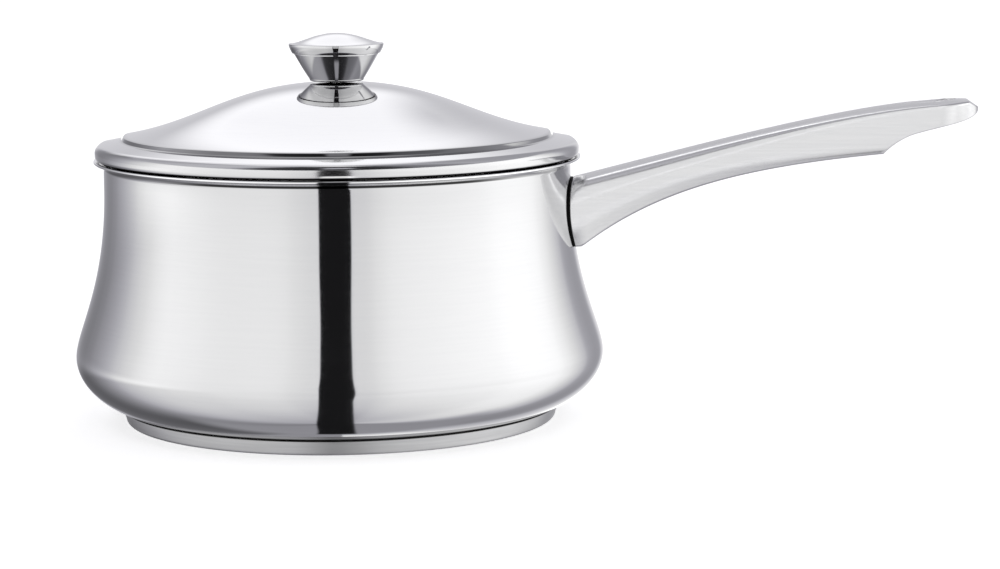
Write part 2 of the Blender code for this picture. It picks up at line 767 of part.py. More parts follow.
def make_handle_bracket(parts, inner_block, screw_hole, steel):
    """The bent lug welded to the pot: a foot on the wall and an arm along the cover."""
    places = [NECK_RADIUS - OVERRUN] + [
        NECK_RADIUS + ROOT_FOOT + (BRACKET_ARM - ROOT_FOOT) * step / BODY_STEPS
        for step in range(BODY_STEPS + 1)
    ]
    under = [(x, cover_height(x) + COVER_SHEET + GAP) for x in places]
    over = [(x, z + BRACKET_SHEET) for x, z in reversed(under[1:])]
    foot_face = NECK_RADIUS + 2 * GAP + GASKET_THICKNESS + BRACKET_SHEET
    foot_top = under[0][1] + BRACKET_HEIGHT
    outline = under + over[:-1] + [(foot_face, over[-1][1]), (foot_face, foot_top), (places[0], foot_top)]
    bracket = extruded("handle_bracket", outline, BRACKET_WIDTH, parts, steel)
    boolean(bracket, inner_block)
    boolean(bracket, screw_hole)
    return bracket


def handle_screw_frame():
    """Place on the cover's lower face, and the tilt of the screw that stands square to it."""
    z = cover_height(SCREW_X)
    slope = (cover_height(SCREW_X + GAP) - z) / GAP
    return (SCREW_X, 0, z), math.atan(slope)


def make_handle_screw(parts, cutters, steel):
    """The screw up through the cover into the bracket."""
    place, tilt = handle_screw_frame()
    outward = (math.sin(tilt), -math.cos(tilt))
    seat = (place[0] + GAP * outward[0], 0, place[2] + GAP * outward[1])
    profile = screw_profile(HANDLE_SHANK_RADIUS, HANDLE_SHANK_LENGTH, HANDLE_HEAD_RADIUS, HANDLE_HEAD_HEIGHT)
    screw = turned("handle_screw", profile, parts, steel, SMALL_TURN_STEPS)
    screw.location = seat
    screw.rotation_euler = (0, -tilt, 0)
    cross, bar = cross_drive("handle_screw_drive", HANDLE_HEAD_RADIUS, HANDLE_HEAD_HEIGHT, cutters)
    face = HANDLE_HEAD_HEIGHT
    cross.location = (seat[0] + face * outward[0], 0, seat[2] + face * outward[1])
    cross.rotation_euler = screw.rotation_euler
    bar.location = cross.location
    bar.rotation_euler = screw.rotation_euler
    boolean(screw, cross)
    return screw


def make_screw_hole(cutters):
    """The clearance hole along the handle screw, through the cover and the bracket's arm."""
    place, tilt = handle_screw_frame()
    depth = 2 * (COVER_SHEET + BRACKET_SHEET + OVERRUN)
    hole = as_cutter(cylinder("handle_screw_hole", HANDLE_SHANK_RADIUS + GAP, depth, cutters))
    hole.location = place
    hole.rotation_euler = (0, -tilt, 0)
    return hole


def build():
    """Make every piece and group the lid's under its own empty."""
    clear_scene()
    parts = new_collection("saucepan")
    cutters = new_collection("cutters")
    mirror_steel = new_material("mirror_steel", (0.78, 0.78, 0.79), 0.06, 1.0)
    satin_steel = new_material("satin_steel", (0.7, 0.7, 0.7), 0.3, 1.0)
    handle_steel = new_material("handle_steel", (0.76, 0.76, 0.77), 0.2, 1.0)
    fastener_steel = new_material("fastener_steel", (0.6, 0.6, 0.61), 0.35, 1.0)
    aluminium = new_material("aluminium", (0.8, 0.8, 0.82), 0.4, 1.0)
    rubber = new_material("black_rubber", (0.01, 0.01, 0.01), 0.6, 0.0)

    make_pot_shell(parts, mirror_steel)
    make_base_capsule(parts, satin_steel)
    make_base_core(parts, aluminium)

    inner_block = wall_block("wall_block", GAP, cutters)
    gasket_block = wall_block("gasket_block", GAP + GASKET_THICKNESS, cutters)
    root_block = wall_block("root_block", 2 * GAP + GASKET_THICKNESS, cutters)
    screw_hole = make_screw_hole(cutters)
    make_handle_upper(parts, cutters, root_block, handle_steel)
    make_handle_lower(parts, root_block, screw_hole, handle_steel)
    make_handle_gasket(parts, cutters, inner_block, gasket_block, rubber)
    make_handle_bracket(parts, inner_block, screw_hole, satin_steel)
    make_handle_screw(parts, cutters, fastener_steel)

    lid = bpy.data.objects.new("lid", None)
    lid.location = (0, 0, LID_SEAT)
    parts.objects.link(lid)
    lid_pieces = [
        make_lid_shell(parts, mirror_steel),
        make_knob_cup(parts, mirror_steel),
        make_knob_cap(parts, mirror_steel),
        *make_knob_nut(parts, cutters, fastener_steel),
        *make_knob_washers(parts, cutters, fastener_steel),
        *make_knob_screw(parts, cutters, fastener_steel),
    ]
    for piece in lid_pieces:
        piece.parent = lid


build()
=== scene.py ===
"""Looks of a covered steel saucepan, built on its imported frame. Metres, +Z up, handle along +X."""

import bisect
import math
from collections import namedtuple

import bmesh
import bpy
import numpy as np
from mathutils import Matrix, Vector


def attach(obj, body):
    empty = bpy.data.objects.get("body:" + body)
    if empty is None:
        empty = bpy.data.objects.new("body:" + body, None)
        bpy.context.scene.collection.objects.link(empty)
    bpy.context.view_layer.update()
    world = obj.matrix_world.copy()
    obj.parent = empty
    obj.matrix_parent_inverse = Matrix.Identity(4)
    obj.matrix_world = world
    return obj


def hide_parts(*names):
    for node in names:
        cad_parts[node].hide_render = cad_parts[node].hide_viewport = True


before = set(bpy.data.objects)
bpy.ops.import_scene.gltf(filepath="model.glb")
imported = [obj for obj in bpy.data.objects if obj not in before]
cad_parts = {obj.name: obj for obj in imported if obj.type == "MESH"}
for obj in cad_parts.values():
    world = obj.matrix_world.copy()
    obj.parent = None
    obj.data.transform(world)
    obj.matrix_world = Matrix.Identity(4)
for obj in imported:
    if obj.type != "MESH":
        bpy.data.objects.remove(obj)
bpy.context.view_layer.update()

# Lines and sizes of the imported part, which this script can't read from its source
GAP = 0.0003
POT_SHEET = 0.001
NECK_RADIUS = 0.0999
NECK_HEIGHT = 0.1013
BELLY_RADIUS = 0.1134
BELLY_HEIGHT = 0.0285
LIP_RADIUS = 0.104
LIP_HEIGHT = 0.1125
LIP_BEND = 0.003
NECK_PULL_SHARE = 0.59
BELLY_PULL_SHARE = 0.155
LOWER_PULL_SHARE = 0.44
FLOOR_PULL_SHARES = (0.565, 0.18)
BASE_RADIUS = 0.094
BASE_THICKNESS = 0.0066
BASE_TAPER = 0.0014
BASE_CORNER = 0.0018
CAPSULE_SHEET = 0.0006
LID_SEAT = LIP_HEIGHT + GAP
LID_SHEET = 0.0007
LID_RADIUS = 0.1034
RIM_DEPTH = 0.006
RIM_CURL = 0.0018
RIM_CORNER = 0.003
RIM_ROUND_SHARE = 0.57
FLANGE_WIDTH = 0.0114
FLANGE_RISE = 0.0021
STEP_WIDTH = 0.0009
STEP_RISE = 0.0016
DOME_RISE = 0.022
DOME_CROWN_PULL_SHARE = 0.48
DOME_EDGE_PULL_SHARES = (0.39, 0.3)
DOME_RADIUS = LID_RADIUS - FLANGE_WIDTH - STEP_WIDTH
LID_CROWN = RIM_DEPTH + FLANGE_RISE + STEP_RISE + DOME_RISE
SKIRT_CLEARANCE = 0.0011
SKIRT_RADIUS = NECK_RADIUS - POT_SHEET - SKIRT_CLEARANCE
SKIRT_DEPTH = 0.0058
HEM_BEND = 0.0008
KNOB_BORE = 0.0028
KNOB_SEAT = LID_CROWN + GAP
KNOB_SHEET = 0.001
KNOB_FOOT_RADIUS = 0.0108
KNOB_FOOT_ROUND = 0.0009
KNOB_CUP_RADIUS = 0.0182
KNOB_CUP_HEIGHT = 0.0117
KNOB_CUP_PULL_SHARES = ((0.34, 0.3), (0.7, 0.68))
KNOB_SEAM_STEP = 0.0008
KNOB_CAP_OVERHANG = 0.0021
KNOB_BAND_HEIGHT = 0.0034
KNOB_BAND_PULL_SHARES = ((0.0, 0.31), (0.68, 0.78))
KNOB_CREST_ROUND = 0.0005
KNOB_DOME_RISE = 0.0044
KNOB_DOME_PULL_SHARES = ((0.46, 1.0), (0.72, 0.14))
HANDLE_LENGTH = 0.1723
HANDLE_BELOW_LIP = 0.0094
HANDLE_TOP = LIP_HEIGHT - HANDLE_BELOW_LIP
HANDLE_RISE = 0.0328
HANDLE_SHEET = 0.0016
HANDLE_WIDTH = 0.025
HANDLE_BULGE = 0.005
HANDLE_CROWN = 0.0026
CREASE_WIDTH_SHARES = (0.5, 0.36, 0.38, 0.52)
LOWER_WIDTH_SHARES = (0.48, 0.34, 0.36, 0.48)
BULGE_SHARES = (1.0, 0.3, 0.3, 0.3)
CROWN_SHARES = (0.85, 1.3, 0.92, 0.6)
RIDGE_PULL_SHARES = ((0.345, 0.443), (0.763, 1.038))
ROOT_HEIGHT = 0.0287
ROOT_BOTTOM = HANDLE_TOP - ROOT_HEIGHT
ROOT_FOOT = 0.0046
UNDER_RISE = 0.0389
UNDER_PULL_SHARES = ((0.247, 0.615), (0.538, 0.856))
TIP_X = NECK_RADIUS + HANDLE_LENGTH
STEP_FROM_TIP = 0.0404
STEP_X = TIP_X - STEP_FROM_TIP
TAIL_RISE = 0.0092
TAIL_LENGTH = 0.0152
TAIL_PULL_SHARES = ((0.28, 0.5), (0.6, 0.84))
NOSE_DROP = 0.0033
NOSE_DROP_LENGTH = 0.0047
CORNER_X = TIP_X - NOSE_DROP_LENGTH
NOSE_EDGE_HEIGHT = 0.0014
NOSE_TAIL_PULL_SHARES = ((0.5, 0.42), (0.93, 0.55))
NOSE_LENGTH = 0.019
NOSE_SWEEP = math.radians(76)
NOSE_X = TIP_X - NOSE_LENGTH * math.sin(NOSE_SWEEP)
NOSE_WALL = 0.005
TIP_HEIGHT = HANDLE_TOP + HANDLE_RISE - NOSE_DROP
HANG_HOLE_RADIUS = 0.004
HANG_HOLE_FROM_TIP = 0.0142
HANG_HOLE_X = TIP_X - HANG_HOLE_FROM_TIP
RECESS_LENGTH = 0.027
RECESS_WIDTH = 0.013
RECESS_DEPTH = 0.0008
RECESS_FROM_TIP = 0.0212
RECESS_X = TIP_X - RECESS_FROM_TIP
GASKET_RING = 0.0032

# Steps of curves and turns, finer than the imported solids', and of the root's fit to the pot
TURN_STEPS = 256
SMALL_TURN_STEPS = 160
CURVE_STEPS = 40
BEND_STEPS = 8
CROWN_STEPS = 24
EASE_STEPS = 6
SIDE_STEPS = 14
ROOT_STEPS = 8
GRIP_STEPS = 80
TAIL_STEPS = 50
NOSE_STEPS = 44
HOLE_STEPS = 96
FITTING_PASSES = 3

# Lengths that count as nothing, the least share of a mitre, and the angles of sharp edges
SHORTEST_LENGTH = 0.00002
MERGE_DISTANCE = 0.000001
ON_AXIS = 1e-7
TINY = 1e-9
MITRE_LIMIT = 0.5
SHARP_DEGREES = 35
HANDLE_SHARP_DEGREES = 40

# Where the handle's root and the gasket stand, out from the pot's wall
ROOT_OFFSET = 0.0008
GASKET_INNER = 0.0001
GASKET_OUTER = 0.0007
GASKET_INSET = 0.0001
ROOT_FADE = 0.016
ROOT_ROUND = 0.0004

# Soft edges: the length over which a corner is eased, and how that fades past the step
RISER_TOP_EASES = (0.0004, 0.0003)
RISER_FOOT_EASES = (0.0003, 0.0014)
CREASE_EASE = 0.0032
CREASE_EASE_SHARES = (1.0, 0.6, 0.4, 0.3)
EDGE_EASE = 0.002
TONGUE_EDGE_EASE = 0.0005
EDGE_FADE = 0.002

# The most of a run, a width, a depth or a corner that an ease or edge may take up, and where the
# sheet's lower edge stands, as shares of the sheet
RUN_LIMIT = 0.5
WIDTH_LIMIT = 0.45
DEPTH_LIMIT = 0.4
FOOT_LIMIT = 0.5
SOLID_LIMIT = 0.6
FOOT_SHARE = 0.85
INNER_FOOT_SHARE = 0.15

# The dished top near the tip, the hole through it, and how far round the nose the sections go
RECESS_STEEPNESS = 1.6
NOSE_SWEEP_SHARE = 0.96
HOLE_ROUND = 0.0008
HOLE_REACH = 0.012

# Camera, solved from the ellipses of rim and base in the photograph
CAMERA_AZIMUTH = math.radians(5.5)
CAMERA_PAN = math.radians(3.041)
CAMERA_PITCH = math.radians(8.063)
CAMERA_ROLL = math.radians(-0.45)
CAMERA_DISTANCE = 1.3
CAMERA_HEIGHT = 0.2402
CAMERA_LENS = 109.548
CAMERA_SENSOR = 36


# Curves and lines, as lists of points


def blend(values, t):
    """A value between the first and the last of four, drawn by the middle two."""
    weights = ((1 - t) ** 3, 3 * (1 - t) ** 2 * t, 3 * (1 - t) * t ** 2, t ** 3)
    return sum(weight * value for weight, value in zip(weights, values))


def bezier(start, pull_start, pull_end, end, steps=CURVE_STEPS):
    """Points of a cubic curve, both ends included."""
    across, up = zip(start, pull_start, pull_end, end)
    return [(blend(across, step / steps), blend(up, step / steps)) for step in range(steps + 1)]


def pulled(start, end, pull_shares):
    """A cubic curve drawn by two points at shares of the way across and up from start to end."""
    across = end[0] - start[0]
    up = end[1] - start[1]
    pulls = [(start[0] + share[0] * across, start[1] + share[1] * up) for share in pull_shares]
    return bezier(start, *pulls, end)


def arc(centre, radius, from_degrees, to_degrees):
    """Points of a round bend, both ends included."""
    points = []
    for step in range(BEND_STEPS + 1):
        angle = math.radians(from_degrees + (to_degrees - from_degrees) * step / BEND_STEPS)
        points.append((centre[0] + radius * math.cos(angle), centre[1] + radius * math.sin(angle)))
    return points


def offset(line, distance):
    """A line moved to the left of its direction, each point along its own normal."""
    points = np.array(line, float)
    along = np.diff(points, axis=0)
    along /= np.maximum(np.linalg.norm(along, axis=1), TINY)[:, None]
    before = np.vstack([along[:1], along])
    after = np.vstack([along, along[-1:]])
    direction = before + after
    direction /= np.maximum(np.linalg.norm(direction, axis=1), TINY)[:, None]
    normal = np.stack([-direction[:, 1], direction[:, 0]], 1)
    stretch = np.clip((direction * before).sum(1), MITRE_LIMIT, 1.0)
    return [tuple(point) for point in points + normal * (distance / stretch)[:, None]]


def rounded(line, corner, before_ease, after_ease):
    """The line with one of its corners eased, over a length before it and one after it."""
    before, point, after = (np.array(line[corner + side]) for side in (-1, 0, 1))
    start = point + (before - point) * min(before_ease / np.linalg.norm(before - point), RUN_LIMIT)
    end = point + (after - point) * min(after_ease / np.linalg.norm(after - point), RUN_LIMIT)
    ease = bezier(start, (start + 2 * point) / 3, (end + 2 * point) / 3, end, BEND_STEPS)
    return line[:corner] + ease + line[corner + 1:]


def tidy_line(line):
    """A line without repeated points."""
    kept = [line[0]]
    for point in line[1:]:
        if math.dist(point, kept[-1]) > SHORTEST_LENGTH:
            kept.append(point)
    return kept


# Objects


def put_in_scene(name, data):
    """A new object in the scene."""
    thing = bpy.data.objects.new(name, data)
    bpy.context.scene.collection.objects.link(thing)
    return thing


def add_object(name, vertices, faces, sharp_degrees=SHARP_DEGREES):
    """A smooth-shaded object with outward faces."""
    mesh = bpy.data.meshes.new(name)
    mesh.from_pydata(vertices, [], faces)
    work = bmesh.new()
    work.from_mesh(mesh)
    bmesh.ops.recalc_face_normals(work, faces=work.faces)
    work.to_mesh(mesh)
    work.free()
    mesh.shade_smooth()
    mesh.set_sharp_from_angle(angle=math.radians(sharp_degrees))
    return put_in_scene(name, mesh)


def band(here, there, size):
    """Faces between two closed rings of points, each given by its first point's index."""
    faces = []
    for step in range(size):
        after = (step + 1) % size
        faces.append((here + step, here + after, there + after, there + step))
    return faces


def turned(name, line, steps, closed=False):
    """A line of (radius, height) points turned about Z. It ends on the axis, or closes on itself."""
    line = tidy_line(line)
    if closed and math.dist(line[0], line[-1]) < SHORTEST_LENGTH:
        line = line[:-1]
    vertices = []
    rings = []
    for radius, height in line:
        if radius < ON_AXIS:
            rings.append([len(vertices)] * steps)
            vertices.append((0, 0, height))
            continue
        rings.append(list(range(len(vertices), len(vertices) + steps)))
        for step in range(steps):
            angle = 2 * math.pi * step / steps
            vertices.append((radius * math.cos(angle), radius * math.sin(angle), height))
    faces = []
    pairs = list(zip(rings, rings[1:])) + ([(rings[-1], rings[0])] if closed else [])
    for ring, following in pairs:
        for step in range(steps):
            after = (step + 1) % steps
            corners = [ring[step], ring[after], following[after], following[step]]
            faces.append(list(dict.fromkeys(corners)))
    return add_object(name, vertices, faces)


def dress(thing, body, material, slot, *nodes):
    """Put a piece on its body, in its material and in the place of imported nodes."""
    thing.data.materials.clear()
    thing.data.materials.append(material)
    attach(thing, body)
    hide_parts(*nodes)
    return thing


# Pot and base


def body_line():
    """The pot's outer line from the foot of its lip to its belly."""
    height = NECK_HEIGHT - BELLY_HEIGHT
    lip_foot = LIP_HEIGHT - POT_SHEET - LIP_BEND
    return [(NECK_RADIUS, lip_foot)] + bezier(
        (NECK_RADIUS, NECK_HEIGHT),
        (NECK_RADIUS, NECK_HEIGHT - NECK_PULL_SHARE * height),
        (BELLY_RADIUS, BELLY_HEIGHT + BELLY_PULL_SHARE * height),
        (BELLY_RADIUS, BELLY_HEIGHT),
    )


def lower_line():
    """The pot's outer line from its belly in to its flat bottom."""
    height = BELLY_HEIGHT - BASE_THICKNESS
    inward = BELLY_RADIUS - BASE_RADIUS
    return bezier(
        (BELLY_RADIUS, BELLY_HEIGHT),
        (BELLY_RADIUS, BELLY_HEIGHT - LOWER_PULL_SHARE * height),
        (BASE_RADIUS + FLOOR_PULL_SHARES[0] * inward, BASE_THICKNESS + FLOOR_PULL_SHARES[1] * height),
        (BASE_RADIUS, BASE_THICKNESS),
    )


def make_pot(steel):
    """The drawn body, with a rounded edge to its lip."""
    under = LIP_HEIGHT - POT_SHEET
    half_sheet = POT_SHEET / 2
    outer = [(LIP_RADIUS - half_sheet, under)]
    outer += arc((NECK_RADIUS + LIP_BEND, under - LIP_BEND), LIP_BEND, 90, 180)
    outer += body_line() + lower_line()[1:]
    outer.append((0, BASE_THICKNESS))
    outer = tidy_line(outer)
    inner = offset(outer, -POT_SHEET)
    edge = arc((LIP_RADIUS - half_sheet, under + half_sheet), half_sheet, -90, 90)
    pot = turned("pot_body", outer[::-1] + edge[1:-1] + inner, TURN_STEPS)
    return dress(pot, "pan", steel, "mirror_steel", "pot_shell")


def make_base(steel):
    """The capsule's cup, closed all round at its upper edge."""
    top = BASE_THICKNESS - GAP
    foot_radius = BASE_RADIUS - BASE_TAPER
    half_sheet = CAPSULE_SHEET / 2
    outer = [(BASE_RADIUS, top - half_sheet)]
    outer += arc((foot_radius - BASE_CORNER, BASE_CORNER), BASE_CORNER, 0, -90)
    outer.append((0, 0))
    inner = offset(outer, -CAPSULE_SHEET)
    edge = arc((BASE_RADIUS - half_sheet, top - half_sheet), half_sheet, 0, 180)
    cup = turned("base_cup", outer[::-1] + edge[1:-1] + inner, TURN_STEPS)
    return dress(cup, "pan", steel, "satin_steel", "base_capsule")


# Lid and knob


def make_lid(steel):
    """The lid in one sheet, from the hole for the knob's screw to the end of its skirt."""
    flange_end = (LID_RADIUS - FLANGE_WIDTH, RIM_DEPTH + FLANGE_RISE)
    dome_edge = (DOME_RADIUS, flange_end[1] + STEP_RISE)
    dome = bezier(
        (0, LID_CROWN),
        (DOME_CROWN_PULL_SHARE * DOME_RADIUS, LID_CROWN),
        (DOME_RADIUS - DOME_EDGE_PULL_SHARES[0] * DOME_RADIUS,
         dome_edge[1] + DOME_EDGE_PULL_SHARES[1] * DOME_RISE),
        dome_edge,
        2 * CURVE_STEPS,
    )
    slope = FLANGE_RISE / FLANGE_WIDTH
    rim_top = (LID_RADIUS, RIM_DEPTH)
    corner_in = (LID_RADIUS - RIM_CORNER, RIM_DEPTH + slope * RIM_CORNER)
    corner_out = (LID_RADIUS, RIM_DEPTH - RIM_CORNER)
    riser = [dome[-3], dome_edge, flange_end, corner_in]
    riser = rounded(riser, 2, *RISER_FOOT_EASES)
    riser = rounded(riser, 1, *RISER_TOP_EASES)
    outer = [(KNOB_BORE, LID_CROWN)] + [point for point in dome[:-2] if point[0] > KNOB_BORE]
    outer += riser[1:-1]
    pulls = []
    for corner in (corner_in, corner_out):
        pulls.append(tuple(start + RIM_ROUND_SHARE * (end - start) for start, end in zip(corner, rim_top)))
    outer += bezier(corner_in, *pulls, corner_out)
    outer += arc((LID_RADIUS - RIM_CURL, RIM_CURL), RIM_CURL, 0, -90)
    outer += bezier(
        (SKIRT_RADIUS + 2 * HEM_BEND, 0),
        (SKIRT_RADIUS, 0),
        (SKIRT_RADIUS, 0),
        (SKIRT_RADIUS, -2 * HEM_BEND),
        BEND_STEPS,
    )
    outer.append((SKIRT_RADIUS, LID_SHEET / 2 - SKIRT_DEPTH))
    outer = tidy_line(outer)
    inner = offset(outer, -LID_SHEET)
    edge = arc((SKIRT_RADIUS - LID_SHEET / 2, outer[-1][1]), LID_SHEET / 2, 0, -180)
    line = outer + edge[1:-1] + inner[::-1]
    lid = turned("lid_sheet", [(r, z + LID_SEAT) for r, z in line], TURN_STEPS, closed=True)
    return dress(lid, "lid", steel, "mirror_steel", "lid_shell")


def make_knob_cup(steel):
    """The knob's flared cup with a rounded brim."""
    shoulder = (KNOB_FOOT_RADIUS + KNOB_FOOT_ROUND, KNOB_SEAT + KNOB_FOOT_ROUND)
    brim = (KNOB_CUP_RADIUS, KNOB_SEAT + KNOB_CUP_HEIGHT)
    outer = pulled(shoulder, brim, KNOB_CUP_PULL_SHARES)[::-1][1:]
    outer += arc((KNOB_FOOT_RADIUS, shoulder[1]), KNOB_FOOT_ROUND, 0, -90)
    outer.append((KNOB_BORE, KNOB_SEAT))
    outer = tidy_line(outer)
    inner = offset(outer, -KNOB_SHEET)
    half_sheet = KNOB_SHEET / 2
    lean = math.degrees(math.atan2(outer[0][1] - inner[0][1], outer[0][0] - inner[0][0]))
    centre = ((outer[0][0] + inner[0][0]) / 2, (outer[0][1] + inner[0][1]) / 2)
    edge = arc(centre, half_sheet, lean, lean + 180)
    line = outer[::-1] + edge[1:-1] + inner
    cup = turned("knob_bowl", [(r, z + LID_SEAT) for r, z in line], SMALL_TURN_STEPS, closed=True)
    return dress(cup, "lid", steel, "mirror_steel", "knob_cup")


def make_knob_cap(steel):
    """The knob's cap: a low dome, a rounded crest and a bulging band that ends at the seam."""
    band_foot = (KNOB_CUP_RADIUS + KNOB_SEAM_STEP, KNOB_SEAT + KNOB_CUP_HEIGHT + GAP)
    edge_radius = KNOB_CUP_RADIUS + KNOB_CAP_OVERHANG
    edge = (edge_radius, band_foot[1] + KNOB_BAND_HEIGHT)
    crest = (edge_radius - KNOB_CREST_ROUND, edge[1] + KNOB_CREST_ROUND)
    pulls = [(out * crest[0], crest[1] + up * KNOB_DOME_RISE) for out, up in KNOB_DOME_PULL_SHARES]
    dome = bezier((0, crest[1] + KNOB_DOME_RISE), *pulls, crest)
    turn = bezier(crest, (edge_radius, crest[1]), (edge_radius, crest[1]), edge, BEND_STEPS)
    outer = tidy_line(dome + turn[1:] + pulled(edge, band_foot, KNOB_BAND_PULL_SHARES)[1:])
    inner = offset(outer, -KNOB_SHEET)
    inner[0] = (0, inner[0][1])
    line = outer + inner[::-1]
    cap = turned("knob_lid", [(r, z + LID_SEAT) for r, z in line], SMALL_TURN_STEPS)
    return dress(cap, "lid", steel, "mirror_steel", "knob_cap")


# Handle: lines seen from the side, as (x, z) points, and widths across it


def height_at(line, x):
    """Height of a line of (x, z) points at x, carried on straight past its ends."""
    index = min(max(bisect.bisect_left(line, (x,)), 1), len(line) - 1)
    before, after = line[index - 1], line[index]
    slope = (after[1] - before[1]) / (after[0] - before[0])
    return before[1] + slope * (x - before[0])


def ridge_line():
    """The handle's highest line, from the pot to the corner of its nose and down to the tip."""
    root = (NECK_RADIUS, HANDLE_TOP)
    corner = (CORNER_X, HANDLE_TOP + HANDLE_RISE)
    return pulled(root, corner, RIDGE_PULL_SHARES) + [(TIP_X, TIP_HEIGHT)]


def under_line():
    """The handle's lower line: a short foot at the pot, then a hollow curve out to the step."""
    foot = (NECK_RADIUS + ROOT_FOOT, ROOT_BOTTOM)
    step = (STEP_X, ROOT_BOTTOM + UNDER_RISE)
    return [(NECK_RADIUS, ROOT_BOTTOM)] + pulled(foot, step, UNDER_PULL_SHARES)


def tail_line():
    """The lower line past the step, rising to the underside of the tip."""
    step = (STEP_X, ROOT_BOTTOM + UNDER_RISE)
    bend = (STEP_X + TAIL_LENGTH, step[1] + TAIL_RISE)
    tip = (TIP_X, TIP_HEIGHT - NOSE_EDGE_HEIGHT)
    return pulled(step, bend, TAIL_PULL_SHARES) + pulled(bend, tip, NOSE_TAIL_PULL_SHARES)[1:]


RIDGE = ridge_line()
UNDER = under_line()
TAIL = tail_line()
WALL = [(height, radius) for radius, height in body_line()[::-1]]


def edge_height(x):
    """Height of the shell's lower edge."""
    return height_at(UNDER if x <= STEP_X else TAIL, x)


def nose_share(x):
    """How much of its width the handle keeps at x, as it rounds off to the tip in plan."""
    if x <= NOSE_X:
        return 1.0
    return math.sqrt(max(1 - ((x - NOSE_X) / (TIP_X - NOSE_X)) ** 2, 0))


def place_share(x):
    """Place along the handle, from 0 at the pot to 1 at the tip."""
    return min(max((x - NECK_RADIUS) / HANDLE_LENGTH, 0), 1)


def crease_half_width(x):
    """Half the width between the two creases beside the crowned top."""
    return HANDLE_WIDTH * blend(CREASE_WIDTH_SHARES, place_share(x)) * nose_share(x)


def crown_height(x):
    """How far the ridge stands above the creases."""
    return HANDLE_CROWN * blend(CROWN_SHARES, place_share(x)) * nose_share(x) ** 2


def side_half_width(x, z, crease):
    """Half the handle's width at a height on its bulging sides."""
    depth_share = (crease - z) / (crease - height_at(UNDER, x))
    lower = HANDLE_WIDTH * blend(LOWER_WIDTH_SHARES, place_share(x)) * nose_share(x)
    bulge = HANDLE_BULGE * blend(BULGE_SHARES, place_share(x)) * nose_share(x)
    upper = crease_half_width(x)
    return upper + (lower - upper) * depth_share + 4 * bulge * depth_share * (1 - depth_share)


def eased(before, corner, after):
    """Points of a soft corner, without its first one."""
    places = (before, corner, after)
    points = []
    for step in range(1, EASE_STEPS + 1):
        t = step / EASE_STEPS
        weights = ((1 - t) ** 2, 2 * t * (1 - t), t ** 2)
        points.append(tuple(sum(w * p[axis] for w, p in zip(weights, places)) for axis in (0, 1)))
    return points


def recess_depth(x, y):
    """How far the dish around the hanging hole lies below the top, pointed at both its ends."""
    along = (x - RECESS_X) / (RECESS_LENGTH / 2)
    across = y / (RECESS_WIDTH / 2)
    if abs(along) >= 1 or abs(across) >= 1 - along ** 2:
        return 0.0
    return RECESS_DEPTH * min(((1 - along ** 2) ** 2 - across ** 2) * RECESS_STEEPNESS, 1.0)


def outer_half(x, inset=0.0):
    """Points (y, z) from the ridge down one side to the inner edge of the sheet."""
    width = crease_half_width(x)
    crown = crown_height(x)
    crease = height_at(RIDGE, x) - crown
    bottom = edge_height(x)
    depth = crease - bottom
    ease = CREASE_EASE * blend(CREASE_EASE_SHARES, place_share(x))
    ease = min(ease, width * WIDTH_LIMIT, depth * DEPTH_LIMIT)
    step_share = min(max((x - STEP_X) / EDGE_FADE, 0), 1)
    lower_ease = min(EDGE_EASE + (TONGUE_EDGE_EASE - EDGE_EASE) * step_share, depth * DEPTH_LIMIT)
    reach = width - ease
    points = []
    for step in range(CROWN_STEPS + 1):
        y = reach * step / CROWN_STEPS
        points.append((y, crease + crown * (1 - (y / width) ** 2) - recess_depth(x, y)))
    side_top = crease - ease
    side_end = bottom + lower_ease
    points += eased(points[-1], (width, crease), (side_half_width(x, side_top, crease), side_top))
    for step in range(1, SIDE_STEPS + 1):
        z = side_top + (side_end - side_top) * step / SIDE_STEPS
        points.append((side_half_width(x, z, crease), z))
    corner = (side_half_width(x, bottom, crease), bottom)
    foot = (corner[0] - min(HANDLE_SHEET * FOOT_SHARE, corner[0] * FOOT_LIMIT), bottom)
    points += eased(points[-1], corner, foot)
    if not inset:
        return points
    smaller = []
    for step, (y, z) in enumerate(points):
        inward = max(y - inset, 0) if step > CROWN_STEPS else y * (1 - inset / width)
        smaller.append((inward, max(z - inset, bottom + inset)))
    return smaller


def inner_half(x, solid=False):
    """As many points as outer_half gives, along the sheet's inner side, or across a solid end."""
    count = CROWN_STEPS + 2 * EASE_STEPS + SIDE_STEPS
    bottom = edge_height(x)
    crown = crown_height(x)
    crease = height_at(RIDGE, x) - crown
    if solid:
        corner = side_half_width(x, bottom, crease)
        edge = corner - min(HANDLE_SHEET, corner * SOLID_LIMIT)
        return [(edge * step / count, bottom) for step in range(count + 1)]
    width = crease_half_width(x) - HANDLE_SHEET
    top = crease - HANDLE_SHEET
    ease = min(CREASE_EASE, width * WIDTH_LIMIT)
    points = []
    for step in range(CROWN_STEPS + 1):
        y = (width - ease) * step / CROWN_STEPS
        points.append((y, top + crown * (1 - (y / width) ** 2)))
    side_top = top - ease
    below = (side_half_width(x, side_top, crease) - HANDLE_SHEET, side_top)
    points += eased(points[-1], (width, top), below)
    rest = count - CROWN_STEPS - EASE_STEPS
    foot = bottom + HANDLE_SHEET * INNER_FOOT_SHARE
    for step in range(1, rest + 1):
        z = side_top + (foot - side_top) * step / rest
        points.append((side_half_width(x, z, crease) - HANDLE_SHEET, z))
    return points


def wall_x(y, z):
    """How far out the pot's wall stands beside the handle's root."""
    radius = float(np.interp(z, [point[0] for point in WALL], [point[1] for point in WALL]))
    return math.sqrt(radius ** 2 - y ** 2)


